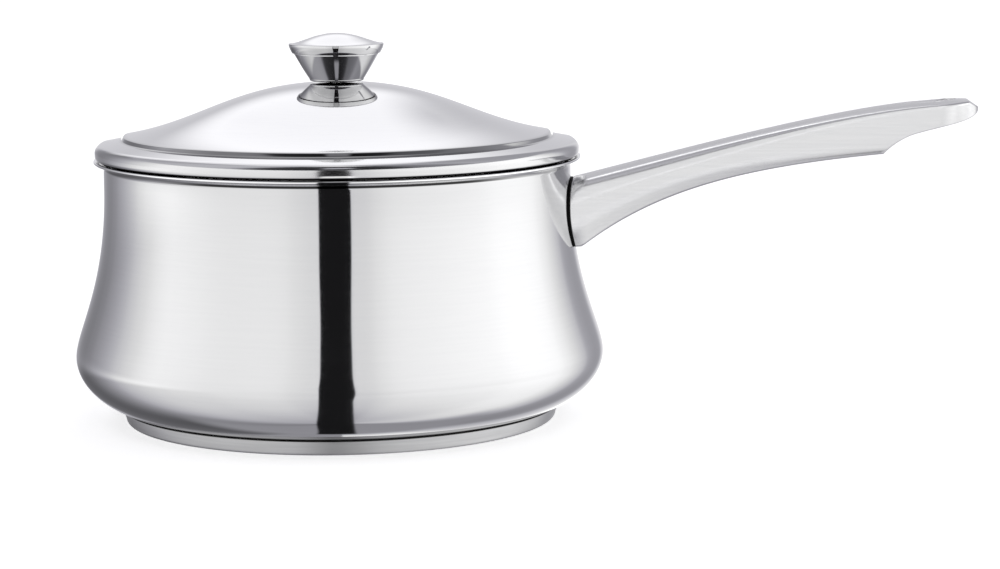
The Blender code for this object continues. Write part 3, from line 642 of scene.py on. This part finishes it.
def fitted_ring(half_of, start, along, share):
    """A half section that follows the pot's wall at a distance, mixed by a share with a flat one."""
    count = len(half_of(start))
    flat_x = NECK_RADIUS + ROOT_FADE
    places = []
    for index in range(count):
        x = start
        for _ in range(FITTING_PASSES):
            y, z = half_of(x)[index]
            root_x = wall_x(y, z) + ROOT_OFFSET + along
            x = root_x + (flat_x - root_x) * share
        y, z = half_of(x)[index]
        places.append((x, y, z))
    return places


def flat_ring(x, solid):
    """The outer and the inner half section at x."""
    return [(x, y, z) for y, z in outer_half(x)], [(x, y, z) for y, z in inner_half(x, solid)]


def whole(half, mirrored_first):
    """A half section and its mirror image as one run of points."""
    if mirrored_first:
        return [(x, -y, z) for x, y, z in half[:0:-1]] + half
    return half[:0:-1] + [(x, -y, z) for x, y, z in half]


def handle_rings():
    """Closed rings of points from the root to the tip: the outer run, then the inner run back."""
    start = NECK_RADIUS + ROOT_FOOT / 2
    rings = []
    for step in range(BEND_STEPS + 1):
        angle = math.pi / 2 * step / BEND_STEPS
        inset = ROOT_ROUND * (1 - math.sin(angle))
        along = ROOT_ROUND * (1 - math.cos(angle))
        outer = fitted_ring(lambda x: outer_half(x, inset), start, along, 0)
        inner = fitted_ring(inner_half, start, along, 0)
        rings.append((outer, inner))
    for step in range(1, ROOT_STEPS + 1):
        share = step / ROOT_STEPS
        outer = fitted_ring(outer_half, start, ROOT_ROUND, share)
        inner = fitted_ring(inner_half, start, ROOT_ROUND, share)
        rings.append((outer, inner))
    flat_x = NECK_RADIUS + ROOT_FADE
    void_end = TIP_X - NOSE_WALL
    places = [flat_x + (STEP_X - flat_x) * step / GRIP_STEPS for step in range(1, GRIP_STEPS + 1)]
    places += [STEP_X + (NOSE_X - STEP_X) * step / TAIL_STEPS for step in range(1, TAIL_STEPS + 1)]
    sweep = math.pi / 2 * NOSE_SWEEP_SHARE
    angles = [sweep * step / NOSE_STEPS for step in range(1, NOSE_STEPS + 1)]
    places += [NOSE_X + (TIP_X - NOSE_X) * math.sin(angle) for angle in angles]
    before = flat_x
    for x in places:
        if before < void_end <= x:
            rings += [flat_ring(void_end, False), flat_ring(void_end, True)]
        rings.append(flat_ring(x, x > void_end))
        before = x
    return [whole(outer, True) + whole(inner, False) for outer, inner in rings]


def make_handle(steel):
    """The handle's shell as one closed surface, cut by its hanging hole."""
    rings = handle_rings()
    size = len(rings[0])
    half = size // 2
    vertices = [point for ring in rings for point in ring]
    faces = []
    for index in range(len(rings) - 1):
        faces += band(index * size, (index + 1) * size, size)
    for base in (0, (len(rings) - 1) * size):
        for step in range(half - 1):
            across = size - 1 - step
            faces.append((base + step, base + step + 1, base + across - 1, base + across))
    handle = add_object("handle_shell", vertices, faces, HANDLE_SHARP_DEGREES)
    work = bmesh.new()
    work.from_mesh(handle.data)
    bmesh.ops.remove_doubles(work, verts=work.verts, dist=MERGE_DISTANCE)
    bmesh.ops.dissolve_degenerate(work, edges=work.edges, dist=MERGE_DISTANCE)
    bmesh.ops.recalc_face_normals(work, faces=work.faces)
    work.to_mesh(handle.data)
    work.free()
    cutter = make_hole_cutter()
    cut = handle.modifiers.new("hanging hole", "BOOLEAN")
    cut.object = cutter
    cut.operation = "DIFFERENCE"
    cut.solver = "EXACT"
    bpy.context.view_layer.update()
    evaluated = handle.evaluated_get(bpy.context.evaluated_depsgraph_get())
    mesh = bpy.data.meshes.new_from_object(evaluated)
    handle.modifiers.clear()
    handle.data = mesh
    mesh.shade_smooth()
    mesh.set_sharp_from_angle(angle=math.radians(HANDLE_SHARP_DEGREES))
    bpy.data.objects.remove(cutter)
    return dress(handle, "pan", steel, "handle_steel", "handle_upper")


def make_hole_cutter():
    """A round cutter that flares at its top, so that the hanging hole gets a soft edge."""
    ends = [height_at(RIDGE, HANG_HOLE_X + side * HANG_HOLE_RADIUS) for side in (-1, 1)]
    tilt = math.atan2(ends[1] - ends[0], 2 * HANG_HOLE_RADIUS)
    flare = arc((HANG_HOLE_RADIUS + HOLE_ROUND, -HOLE_ROUND), HOLE_ROUND, 180, 90)
    line = [(0, -HOLE_REACH), (HANG_HOLE_RADIUS, -HOLE_REACH)] + flare
    line += [(HANG_HOLE_RADIUS + HOLE_ROUND, HOLE_REACH), (0, HOLE_REACH)]
    cutter = turned("hole_cutter", line, HOLE_STEPS)
    surface = height_at(RIDGE, HANG_HOLE_X) - recess_depth(HANG_HOLE_X, 0)
    cutter.matrix_world = Matrix.Translation((HANG_HOLE_X, 0, surface)) @ Matrix.Rotation(-tilt, 4, "Y")
    return cutter


def make_gasket(rubber):
    """The black ring between the handle's root and the pot."""
    start = NECK_RADIUS + ROOT_FOOT / 2
    outer = fitted_ring(lambda x: outer_half(x, GASKET_INSET), start, 0, 0)
    top = max(z for _, _, z in outer)
    bottom = min(z for _, _, z in outer)
    middle = (top + bottom) / 2
    loops = []
    for lift, narrow in ((GASKET_INNER, 0), (GASKET_OUTER, 0), (GASKET_OUTER, 1), (GASKET_INNER, 1)):
        across = 1 - narrow * GASKET_RING / max(y for _, y, _ in outer)
        upright = 1 - narrow * GASKET_RING / (top - middle)
        loop = []
        for _, y, z in outer:
            place = (y * across, middle + (z - middle) * upright)
            loop.append((wall_x(*place) + lift, *place))
        loops.append(whole(loop, True))
    size = len(loops[0])
    vertices = [point for loop in loops for point in loop]
    faces = []
    for index in range(len(loops)):
        faces += band(index * size, (index + 1) % len(loops) * size, size)
    gasket = add_object("root_gasket", vertices, faces, HANDLE_SHARP_DEGREES)
    return dress(gasket, "pan", rubber, "black_rubber", "handle_gasket")


# Materials

WHITE = (1, 1, 1, 1)
BLACK = (0, 0, 0, 1)
GRAIN_SCALE = 900
GRAIN_DETAIL = 3
GRAIN_SPREAD = (0.25, 0.75)
SHEEN_SCALE = 14
SHEEN_DETAIL = 2
SHEEN_STRETCH = (1, 1, 0.3)
NOISE_SPREAD = (0.3, 0.7)
RUBBER_SCALE = 1500
RUBBER_DETAIL = 4
RUBBER_DEPTH = 0.00002
RUBBER_COLOUR = (0.003, 0.003, 0.003)
RUBBER_SHEEN = 0.1
RUBBER_ROUGHNESS = (0.45, 0.7)
RUBBER_STRETCH = (1, 1, 1)

Finish = namedtuple("Finish", "colour dim rough_low rough_high grain_depth wave_depth stretch")
MIRROR = Finish((0.64, 0.64, 0.645), (0.63, 0.63, 0.637), 0.03, 0.055, 0.0000001, 0.000003, (1, 1, 0.004))
SATIN = Finish((0.45, 0.45, 0.455), (0.42, 0.42, 0.426), 0.32, 0.44, 0.000002, 0.00001, (1, 1, 0.004))
HANDLE = Finish((0.635, 0.635, 0.64), (0.61, 0.61, 0.618), 0.16, 0.24, 0.000001, 0.00001, (0.02, 1, 1))
FASTENER = Finish((0.55, 0.55, 0.555), (0.47, 0.47, 0.475), 0.28, 0.42, 0.000002, 0.00001, (1, 1, 0.05))
ALUMINIUM = Finish((0.8, 0.8, 0.81), (0.7, 0.7, 0.71), 0.35, 0.5, 0.000003, 0.00001, (1, 1, 0.05))

# A rim is duller towards an edge. The dark rings are painted shade and painted shadow in bends, gaps and
# joints, fainter at the back than on the camera's side, and a crest is a painted highlight along an edge
Rim = namedtuple("Rim", "inner outer roughness")
PaintedShade = namedtuple("PaintedShade", "low high softness darkness back_share")
PaintedHighlight = namedtuple("PaintedHighlight", "low softness")
PAINTED_SHADE_FADE = (math.radians(30), math.radians(52))
PAINTED_HIGHLIGHT_COLOUR = (0.93, 0.93, 0.935)
RISER_FOOT = LID_SEAT + RIM_DEPTH + FLANGE_RISE
LID_RIM = Rim(LID_RADIUS - 0.003, LID_RADIUS - 0.001, 0.07)
# Painted shadow: a dark ring low on the lid's rim curl, over the gap to the pot's lip
LID_RIM_PAINTED_SHADOW = PaintedShade(LID_SEAT - 0.0002, LID_SEAT + 0.0009, 0.0003, 0.95, 1.0)
# Painted shade: a dark ring over the riser between the flange and the dome, fainter at the back
RISER_PAINTED_SHADE = PaintedShade(RISER_FOOT - 0.0001, RISER_FOOT + STEP_RISE + 0.0002, 0.0002, 0.6, 0.5)
# Painted highlight: a lighter colour on the lip's top edge
LIP_PAINTED_HIGHLIGHT = PaintedHighlight(LIP_HEIGHT - 0.0012, 0.0002)
# Painted shade: a dark ring in the bend under the lip, fainter away from the camera's side
UNDER_LIP_PAINTED_SHADE = PaintedShade(LIP_HEIGHT - 0.0033, LIP_HEIGHT - 0.0022, 0.0002, 0.95, 0.35)
# Painted shade: a dark ring at the pot's bottom corner, just above the base
POT_FOOT_PAINTED_SHADE = PaintedShade(BASE_THICKNESS - 0.0002, BASE_THICKNESS + 0.0012, 0.0003, 0.92, 1.0)
# Painted shadow: a dark ring along the base cup's upper edge, in the joint under the pot
BASE_JOINT_PAINTED_SHADOW = PaintedShade(BASE_THICKNESS - GAP - 0.0003, BASE_THICKNESS + GAP, 0.0002, 0.95, 1.0)


class Graph:
    """A node tree, with a short way to add a node whose inputs are given in order."""

    def __init__(self, tree):
        self.tree = tree
        tree.nodes.clear()

    def add(self, kind, *inputs, **settings):
        """A new node. An input is a value, another node's output, or None to leave it."""
        made = self.tree.nodes.new(kind)
        for key, value in settings.items():
            setattr(made, key, value)
        for socket, value in zip(made.inputs, inputs):
            self.plug(socket, value)
        return made

    def plug(self, socket, value):
        """Give a socket a value or a link."""
        if isinstance(value, bpy.types.NodeSocket):
            self.tree.links.new(value, socket)
        elif value is not None:
            socket.default_value = value

    def math(self, operation, *inputs):
        """The result of a math node."""
        return self.add("ShaderNodeMath", *inputs, operation=operation).outputs[0]

    def ramp(self, value, from_low, from_high, to_low=0.0, to_high=1.0, smooth=True):
        """The value mapped from one range to another, held at both ends."""
        kind = "SMOOTHSTEP" if smooth else "LINEAR"
        ends = (from_low, from_high, to_low, to_high)
        return self.add("ShaderNodeMapRange", value, *ends, interpolation_type=kind).outputs[0]

    def mix(self, share, first, second, kind="RGBA"):
        """The first of two values where the share is zero, and the second where it is one."""
        made = self.add("ShaderNodeMix", share, data_type=kind)
        self.plug(made.inputs["A"], first)
        self.plug(made.inputs["B"], second)
        return made.outputs["Result"]


def around_axis(graph):
    """(radius, height, turn) of a shaded point about the pot's axis, as one vector."""
    place = graph.add("ShaderNodeTexCoord").outputs["Object"]
    split = graph.add("ShaderNodeSeparateXYZ", place).outputs
    squares = [graph.math("MULTIPLY", side, side) for side in split[:2]]
    radius = graph.math("SQRT", graph.math("ADD", *squares))
    turn = graph.math("ARCTAN2", split[1], split[0])
    return graph.add("ShaderNodeCombineXYZ", radius, split[2], turn).outputs[0]


def along_handle(graph):
    """Place on the handle, to be stretched along its length."""
    return graph.add("ShaderNodeTexCoord").outputs["Object"]


def streaks(graph, place, scale, detail, stretch):
    """Noise drawn out along one direction, from 0 to 1."""
    scaled = graph.add("ShaderNodeVectorMath", place, stretch, operation="MULTIPLY").outputs[0]
    made = graph.add("ShaderNodeTexNoise", scaled, noise_dimensions="3D")
    made.inputs["Scale"].default_value = scale
    made.inputs["Detail"].default_value = detail
    return made.outputs["Fac"]


def painted_shade_share(graph, painted_shade, height, turn):
    """How dark a ring of painted shade is at a height, and at a turn about the pot's axis."""
    above = graph.ramp(height, painted_shade.low - painted_shade.softness, painted_shade.low + painted_shade.softness)
    below = graph.ramp(height, painted_shade.high + painted_shade.softness, painted_shade.high - painted_shade.softness)
    aside = graph.math("ABSOLUTE", graph.math("ADD", turn, math.pi / 2 - CAMERA_AZIMUTH))
    fading = graph.ramp(aside, *PAINTED_SHADE_FADE, painted_shade.darkness, painted_shade.darkness * painted_shade.back_share)
    return graph.math("MULTIPLY", graph.math("MULTIPLY", above, below), fading)


def metal(name, finish, placing, rim=None, painted_shades=(), crest=None):
    """Metal with fine lines, a changing sheen and slight waves, with rings of painted shade and a painted
    highlight. Rim, shade rings and crest need around_axis.
    """
    material = bpy.data.materials.new(name)
    material.use_nodes = True
    graph = Graph(material.node_tree)
    place = placing(graph)
    fine = streaks(graph, place, GRAIN_SCALE, GRAIN_DETAIL, finish.stretch)
    slow = streaks(graph, place, SHEEN_SCALE, SHEEN_DETAIL, SHEEN_STRETCH)
    mixed = graph.math("ADD", graph.math("MULTIPLY", fine, 0.5), graph.math("MULTIPLY", slow, 0.5))
    rough = graph.ramp(mixed, *NOISE_SPREAD, finish.rough_low, finish.rough_high)
    colour = graph.mix(graph.ramp(fine, *GRAIN_SPREAD), (*finish.colour, 1), (*finish.dim, 1))
    radius, height, turn = graph.add("ShaderNodeSeparateXYZ", place).outputs
    if rim:
        rough = graph.math("ADD", rough, graph.ramp(radius, rim.inner, rim.outer, 0.0, rim.roughness))
    # Rings of painted shade: the colour goes towards black in bands of height
    for painted_shade in painted_shades:
        colour = graph.mix(painted_shade_share(graph, painted_shade, height, turn), colour, BLACK)
    # Painted highlight: the colour turns lighter above the crest's lower edge
    if crest:
        above = graph.ramp(height, crest.low - crest.softness, crest.low + crest.softness)
        colour = graph.mix(above, colour, (*PAINTED_HIGHLIGHT_COLOUR, 1))
    wave = graph.add("ShaderNodeBump", 1.0, finish.wave_depth)
    graph.plug(wave.inputs["Height"], slow)
    grain = graph.add("ShaderNodeBump", 1.0, finish.grain_depth)
    graph.plug(grain.inputs["Height"], fine)
    graph.plug(grain.inputs["Normal"], wave.outputs[0])
    shader = graph.add("ShaderNodeBsdfPrincipled")
    shader.inputs["Metallic"].default_value = 1
    graph.plug(shader.inputs["Base Color"], colour)
    graph.plug(shader.inputs["Roughness"], rough)
    graph.plug(shader.inputs["Normal"], grain.outputs[0])
    graph.add("ShaderNodeOutputMaterial", shader.outputs[0])
    return material


def rubber(name):
    """Black rubber with a fine mottle."""
    material = bpy.data.materials.new(name)
    material.use_nodes = True
    graph = Graph(material.node_tree)
    mottle = streaks(graph, along_handle(graph), RUBBER_SCALE, RUBBER_DETAIL, RUBBER_STRETCH)
    bump = graph.add("ShaderNodeBump", 1.0, RUBBER_DEPTH)
    graph.plug(bump.inputs["Height"], mottle)
    shader = graph.add("ShaderNodeBsdfPrincipled")
    shader.inputs["Base Color"].default_value = (*RUBBER_COLOUR, 1)
    shader.inputs["Specular IOR Level"].default_value = RUBBER_SHEEN
    graph.plug(shader.inputs["Roughness"], graph.ramp(mottle, *NOISE_SPREAD, *RUBBER_ROUGHNESS))
    graph.plug(shader.inputs["Normal"], bump.outputs[0])
    graph.add("ShaderNodeOutputMaterial", shader.outputs[0])
    return material


# Studio, by turn from the camera's side and by height over the horizon, in degrees

SIDE_LIGHT = (
    (-180, 1.0), (-171, 0.9), (-166, 0.36), (-158, 0.27), (-150, 0.24), (-142, 0.28), (-134, 0.38),
    (-126, 0.51), (-118, 0.68), (-110, 0.87), (-101, 0.97), (-92, 1.0), (-82, 0.95), (-70, 0.87),
    (-55, 0.81), (-30, 0.78), (-20, 0.71), (-10, 0.66), (8, 0.64), (18, 0.72), (28, 0.8), (50, 0.86),
    (70, 0.92), (92, 1.0), (104, 0.98), (113, 0.88), (122, 0.7), (131, 0.5), (140, 0.32), (150, 0.29),
    (158, 0.45), (168, 0.72), (174, 1.0), (180, 1.0),
)
LOWER_LIGHT = ((-90, 0.45), (-75, 0.6), (-60, 0.74), (-45, 0.85), (-28, 0.92), (-12, 1.0), (90, 1.0))
UPPER_LIGHT = (
    (-180, 0.33), (-135, 0.36), (-95, 0.48), (-75, 0.48), (-60, 0.42), (-52, 0.2), (-44, 0.06),
    (-25, 0.035), (28, 0.035), (37, 0.07), (46, 0.18), (60, 0.22), (72, 0.28), (85, 0.4), (100, 0.36),
    (140, 0.33), (180, 0.33),
)

# The share of the side light that is left on the camera's left, low down and from the horizon up
LOW_SHADE = (
    (-180, 0.3), (-140, 0.5), (-110, 0.6), (-97, 0.67), (-85, 0.76), (-75, 0.85), (-60, 0.94),
    (-45, 1.0), (180, 1.0),
)
HIGH_SHADE = (
    (-180, 0.9), (-150, 0.8), (-132, 0.7), (-118, 0.68), (-105, 0.73), (-99, 0.79), (-90, 0.88),
    (-78, 0.96), (-65, 1.0), (180, 1.0),
)
LOW_SHADE_UNDER = (-11, 5)
HIGH_SHADE_OVER = (-5.5, 6)
UPPER_LIGHT_OVER = (30.5, 2)

# Patches of one level, over or under a height, and within or beyond a turn. Each edge has a softness
Patch = namedtuple("Patch", "level over under within beyond", defaults=(None, None, None, None))
STRIP = Patch(0.4, over=(46, 2), under=(63, 3), within=(9, 3))
BACK_WALL = Patch(0.5, over=(1, 1), beyond=(164, 5))
FLOOR_BEHIND = Patch(0.27, under=(-54, 6), beyond=(122, 22))
OVERHEAD = Patch(0.8, over=(79, 3), within=(60, 10))

# The dark gap in front, by a direction's parts across and along to the camera's side. Both its
# sides lean by the part along, the left one shifts as well and the right one bulges
SLIT_LEVEL = 0.009
SLIT_LEFT = -0.101
SLIT_LEFT_LEAN = -0.066
SLIT_LEFT_SHIFT = (4, 27, 0.0, 0.012)
SLIT_LEFT_PAST = (0.1, -0.5, 0.0, 0.014)
SLIT_RIGHT = 0.048
SLIT_RIGHT_LEAN = 0.035
SLIT_BULGE = 0.017
SLIT_BULGE_DOWN = (27, -2)
SLIT_BULGE_UP = (-30, -6)
SLIT_SOFTNESS = 0.005
SLIT_TOP = (30, 1.5)
SLIT_FRONT = (0.0, 0.05)
SLIT_FOOT = (-57, 2)

STUDIO_GAIN = 1.45
FLAG_TINT = (0.988, 0.98, 1.06)
FLAG_TINT_SPREAD = (0.3, 0.8)
FLOOR_REACH = 20
FLOOR_GAP = 0.0002
FLOOR_GLOW = 0.52
FLOOR_ROUGHNESS = 0.9

# Panels that light single pieces: place and size in degrees as seen from a centre, the share that is
# soft edge, and the level
Panel = namedtuple("Panel", "centre turn height width tall soft_share level")
PANEL_REACH = 30
LID_CENTRE = (0, 0, 0.13)
HANDLE_CENTRE = (0.19, 0, 0.12)
LID_PANEL = Panel(LID_CENTRE, -171, 51, 46, 74, 0.24, 0.47)
RIM_FILL = Panel(LID_CENTRE, -1, -38, 15, 50, 0.1, 0.8)
CROWN_LINE = Panel(HANDLE_CENTRE, -164, 56, 34, 15, 0.3, 1.1)
SLIT_FILL = Panel(HANDLE_CENTRE, -2, -10, 15.2, 84, 0.03, 0.66)
FRONT_FILL = Panel(HANDLE_CENTRE, 0, 52, 124, 46, 0.05, 0.74)
SIDE_FILL = Panel(HANDLE_CENTRE, -12, -5, 96, 80, 0.15, 0.14)
CAP_FILL = Panel(LID_CENTRE, -2, 0, 17, 70, 0.2, 0.45)


class Studio(Graph):
    """The world's nodes, with a direction's angles and its level parts ready to use."""

    def __init__(self, tree):
        super().__init__(tree)
        direction = self.add("ShaderNodeTexCoord").outputs["Generated"]
        facing = self.add("ShaderNodeVectorRotate", direction, rotation_type="Z_AXIS")
        facing.inputs["Angle"].default_value = -CAMERA_AZIMUTH
        split = self.add("ShaderNodeSeparateXYZ", facing.outputs[0]).outputs
        self.across = split[0]
        self.along = self.math("MULTIPLY", split[1], -1.0)
        self.turn = self.math("DEGREES", self.math("ARCTAN2", self.across, self.along))
        self.height = self.math("DEGREES", self.math("ARCSINE", split[2]))
        self.away = self.math("ABSOLUTE", self.turn)

    def curve(self, value, points):
        """A smooth curve through (angle, level) points."""
        low, high = points[0][0], points[-1][0]
        made = self.add("ShaderNodeFloatCurve")
        line = made.mapping.curves[0]
        while len(line.points) < len(points):
            line.points.new(0.5, 0.5)
        for point, (angle, level) in zip(line.points, points):
            point.location = ((angle - low) / (high - low), level)
        made.mapping.use_clip = False
        made.mapping.update()
        self.plug(made.inputs["Value"], self.ramp(value, low, high, smooth=False))
        return made.outputs[0]

    def over(self, value, edge, softness):
        """One above an edge and zero below it."""
        return self.ramp(value, edge - softness, edge + softness)

    def under(self, value, edge, softness):
        """One below an edge and zero above it."""
        return self.ramp(value, edge + softness, edge - softness)

    def both(self, *masks):
        """Several masks as one."""
        result = masks[0]
        for mask in masks[1:]:
            result = self.math("MULTIPLY", result, mask)
        return result

    def lay(self, light, level, mask):
        """A level laid over the light where the mask is one."""
        return self.mix(mask, light, level, "FLOAT")

    def lay_patch(self, light, patch):
        """A patch laid over the light."""
        sides = (
            (self.over, self.height, patch.over), (self.under, self.height, patch.under),
            (self.under, self.away, patch.within), (self.over, self.away, patch.beyond),
        )
        masks = [side(value, *edge) for side, value, edge in sides if edge]
        return self.lay(light, patch.level, self.both(*masks))


def slit_mask(room):
    """The dark gap between the soft panels in front."""
    across, along, height = room.across, room.along, room.height
    left = room.math("MULTIPLY_ADD", along, SLIT_LEFT_LEAN, SLIT_LEFT)
    left = room.math("ADD", left, room.ramp(height, *SLIT_LEFT_SHIFT))
    left = room.math("ADD", left, room.ramp(along, *SLIT_LEFT_PAST))
    right = room.math("MULTIPLY_ADD", along, SLIT_RIGHT_LEAN, SLIT_RIGHT)
    bulge = room.both(room.ramp(height, *SLIT_BULGE_DOWN), room.ramp(height, *SLIT_BULGE_UP))
    right = room.math("MULTIPLY_ADD", bulge, SLIT_BULGE, right)
    return room.both(
        room.over(room.math("SUBTRACT", across, left), 0.0, SLIT_SOFTNESS),
        room.over(room.math("SUBTRACT", right, across), 0.0, SLIT_SOFTNESS),
        room.under(height, *SLIT_TOP),
        room.math("MAXIMUM", room.over(along, *SLIT_FRONT), room.under(height, *SLIT_FOOT)),
    )


def make_studio():
    """The world: white to the camera, and to everything else a room of soft panels."""
    world = bpy.data.worlds.new("studio")
    bpy.context.scene.world = world
    world.use_nodes = True
    room = Studio(world.node_tree)
    turn, height = room.turn, room.height
    light = room.math("MULTIPLY", room.curve(turn, SIDE_LIGHT), room.curve(height, LOWER_LIGHT))
    low_light = room.math("MULTIPLY", light, room.curve(turn, LOW_SHADE))
    high_light = room.math("MULTIPLY", light, room.curve(turn, HIGH_SHADE))
    light = room.lay(light, high_light, room.over(height, *HIGH_SHADE_OVER))
    light = room.lay(light, low_light, room.under(height, *LOW_SHADE_UNDER))
    light = room.lay(light, room.curve(turn, UPPER_LIGHT), room.over(height, *UPPER_LIGHT_OVER))
    for patch in (STRIP, BACK_WALL, FLOOR_BEHIND, OVERHEAD):
        light = room.lay_patch(light, patch)
    light = room.lay(light, SLIT_LEVEL, slit_mask(room))
    seen = room.add("ShaderNodeLightPath").outputs["Is Camera Ray"]
    dimness = room.ramp(light, *FLAG_TINT_SPREAD, 1.0, 0.0)
    tinted = room.math("MULTIPLY", dimness, room.math("SUBTRACT", 1.0, seen))
    tint = room.mix(tinted, WHITE, (*FLAG_TINT, 1))
    light = room.math("MULTIPLY", light, STUDIO_GAIN)
    glow = room.add("ShaderNodeBackground", tint, room.lay(light, 1.0, seen))
    room.add("ShaderNodeOutputWorld", glow.outputs[0])


def make_panel(name, panel, *things, shadow=True):
    """A soft-edged lamp that lights only the things given."""
    turn = math.radians(panel.turn) + CAMERA_AZIMUTH
    height = math.radians(panel.height)
    level_part = math.cos(height)
    towards = Vector((math.sin(turn) * level_part, -math.cos(turn) * level_part, math.sin(height)))
    lamp = put_in_scene(name, bpy.data.lights.new(name, "AREA"))
    lamp.location = Vector(panel.centre) + PANEL_REACH * towards
    lamp.rotation_euler = (-towards).to_track_quat("-Z", "Y").to_euler()
    lamp.data.shape = "RECTANGLE"
    lamp.data.size = 2 * PANEL_REACH * math.tan(math.radians(panel.width / 2))
    lamp.data.size_y = 2 * PANEL_REACH * math.tan(math.radians(panel.tall / 2))
    lamp.data.energy = STUDIO_GAIN * panel.level * math.pi * lamp.data.size * lamp.data.size_y
    lamp.visible_camera = False
    lamp.data.use_shadow = shadow
    lamp.data.use_nodes = True
    graph = Graph(lamp.data.node_tree)
    place = graph.add("ShaderNodeNewGeometry").outputs["Parametric"]
    split = graph.add("ShaderNodeSeparateXYZ", place).outputs
    share = None
    for side in split[:2]:
        edge = graph.math("SUBTRACT", 0.5, graph.math("ABSOLUTE", graph.math("SUBTRACT", side, 0.5)))
        mask = graph.ramp(edge, 0.0, panel.soft_share)
        share = graph.math("MULTIPLY", share, mask) if share else mask
    glow = graph.add("ShaderNodeEmission", WHITE, share)
    graph.add("ShaderNodeOutputLight", glow.outputs[0])
    lit = bpy.data.collections.new(name)
    for thing in things:
        lit.objects.link(thing)
    lamp.light_linking.receiver_collection = lit


def make_floor():
    """A white floor that keeps the pan's faint shadow."""
    mesh = bpy.data.meshes.new("floor")
    work = bmesh.new()
    bmesh.ops.create_grid(work, x_segments=1, y_segments=1, size=FLOOR_REACH)
    work.to_mesh(mesh)
    work.free()
    floor = put_in_scene("floor", mesh)
    floor.location.z = -FLOOR_GAP
    floor.visible_glossy = False
    floor.visible_shadow = False
    material = bpy.data.materials.new("floor")
    material.use_nodes = True
    shader = material.node_tree.nodes["Principled BSDF"]
    shader.inputs["Base Color"].default_value = WHITE
    shader.inputs["Roughness"].default_value = FLOOR_ROUGHNESS
    shader.inputs["Emission Color"].default_value = WHITE
    shader.inputs["Emission Strength"].default_value = FLOOR_GLOW
    mesh.materials.append(material)


def make_camera():
    """The view of the photograph."""
    turn = CAMERA_PAN - CAMERA_AZIMUTH
    forward = Vector((
        math.sin(turn) * math.cos(CAMERA_PITCH),
        math.cos(turn) * math.cos(CAMERA_PITCH),
        -math.sin(CAMERA_PITCH),
    ))
    level = Vector((math.cos(turn), -math.sin(turn), 0))
    upright = level.cross(forward)
    right = level * math.cos(CAMERA_ROLL) + upright * math.sin(CAMERA_ROLL)
    up = upright * math.cos(CAMERA_ROLL) - level * math.sin(CAMERA_ROLL)
    camera = put_in_scene("camera", bpy.data.cameras.new("camera"))
    camera.data.sensor_width = CAMERA_SENSOR
    camera.data.lens = CAMERA_LENS
    camera.matrix_world = Matrix((
        (right.x, up.x, -forward.x, CAMERA_DISTANCE * math.sin(CAMERA_AZIMUTH)),
        (right.y, up.y, -forward.y, -CAMERA_DISTANCE * math.cos(CAMERA_AZIMUTH)),
        (right.z, up.z, -forward.z, CAMERA_HEIGHT),
        (0, 0, 0, 1),
    ))
    bpy.context.scene.camera = camera


def dress_node(name, material):
    """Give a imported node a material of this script's own."""
    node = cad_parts[name]
    node.data.materials.clear()
    node.data.materials.append(material)


def build():
    """Dress the frame and set the studio up."""
    mirror = metal("mirror_steel", MIRROR, around_axis)
    pot_steel = metal("pot_steel", MIRROR, around_axis, painted_shades=(UNDER_LIP_PAINTED_SHADE, POT_FOOT_PAINTED_SHADE), crest=LIP_PAINTED_HIGHLIGHT)
    base_steel = metal("base_steel", SATIN, around_axis, painted_shades=(BASE_JOINT_PAINTED_SHADOW,))
    lid_steel = metal("lid_steel", MIRROR, around_axis, LID_RIM, (LID_RIM_PAINTED_SHADOW, RISER_PAINTED_SHADE))
    satin = metal("satin_steel", SATIN, around_axis)
    grip = metal("handle_steel", HANDLE, along_handle)
    fastener = metal("fastener_steel", FASTENER, around_axis)
    aluminium = metal("aluminium", ALUMINIUM, around_axis)
    black = rubber("black_rubber")
    pot = make_pot(pot_steel)
    make_base(base_steel)
    lid = make_lid(lid_steel)
    cup = make_knob_cup(mirror)
    cap = make_knob_cap(mirror)
    handle = make_handle(grip)
    make_gasket(black)
    dress_node("base_core", aluminium)
    dress_node("handle_lower", grip)
    dress_node("handle_bracket", satin)
    for name in ("handle_screw", "knob_nut", "knob_washer", "knob_lock_washer", "knob_screw"):
        dress_node(name, fastener)
    make_studio()
    make_panel("lid_panel", LID_PANEL, lid, cup, cap, pot)
    make_panel("rim_fill", RIM_FILL, lid)
    make_panel("cap_fill", CAP_FILL, cap)
    make_panel("crown_line", CROWN_LINE, handle, shadow=False)
    make_panel("slit_fill", SLIT_FILL, handle, shadow=False)
    make_panel("front_fill", FRONT_FILL, handle, shadow=False)
    make_panel("side_fill", SIDE_FILL, handle, shadow=False)
    make_floor()
    make_camera()
    bpy.context.scene.view_settings.view_transform = "Standard"


build()
bpy.context.view_layer.update()
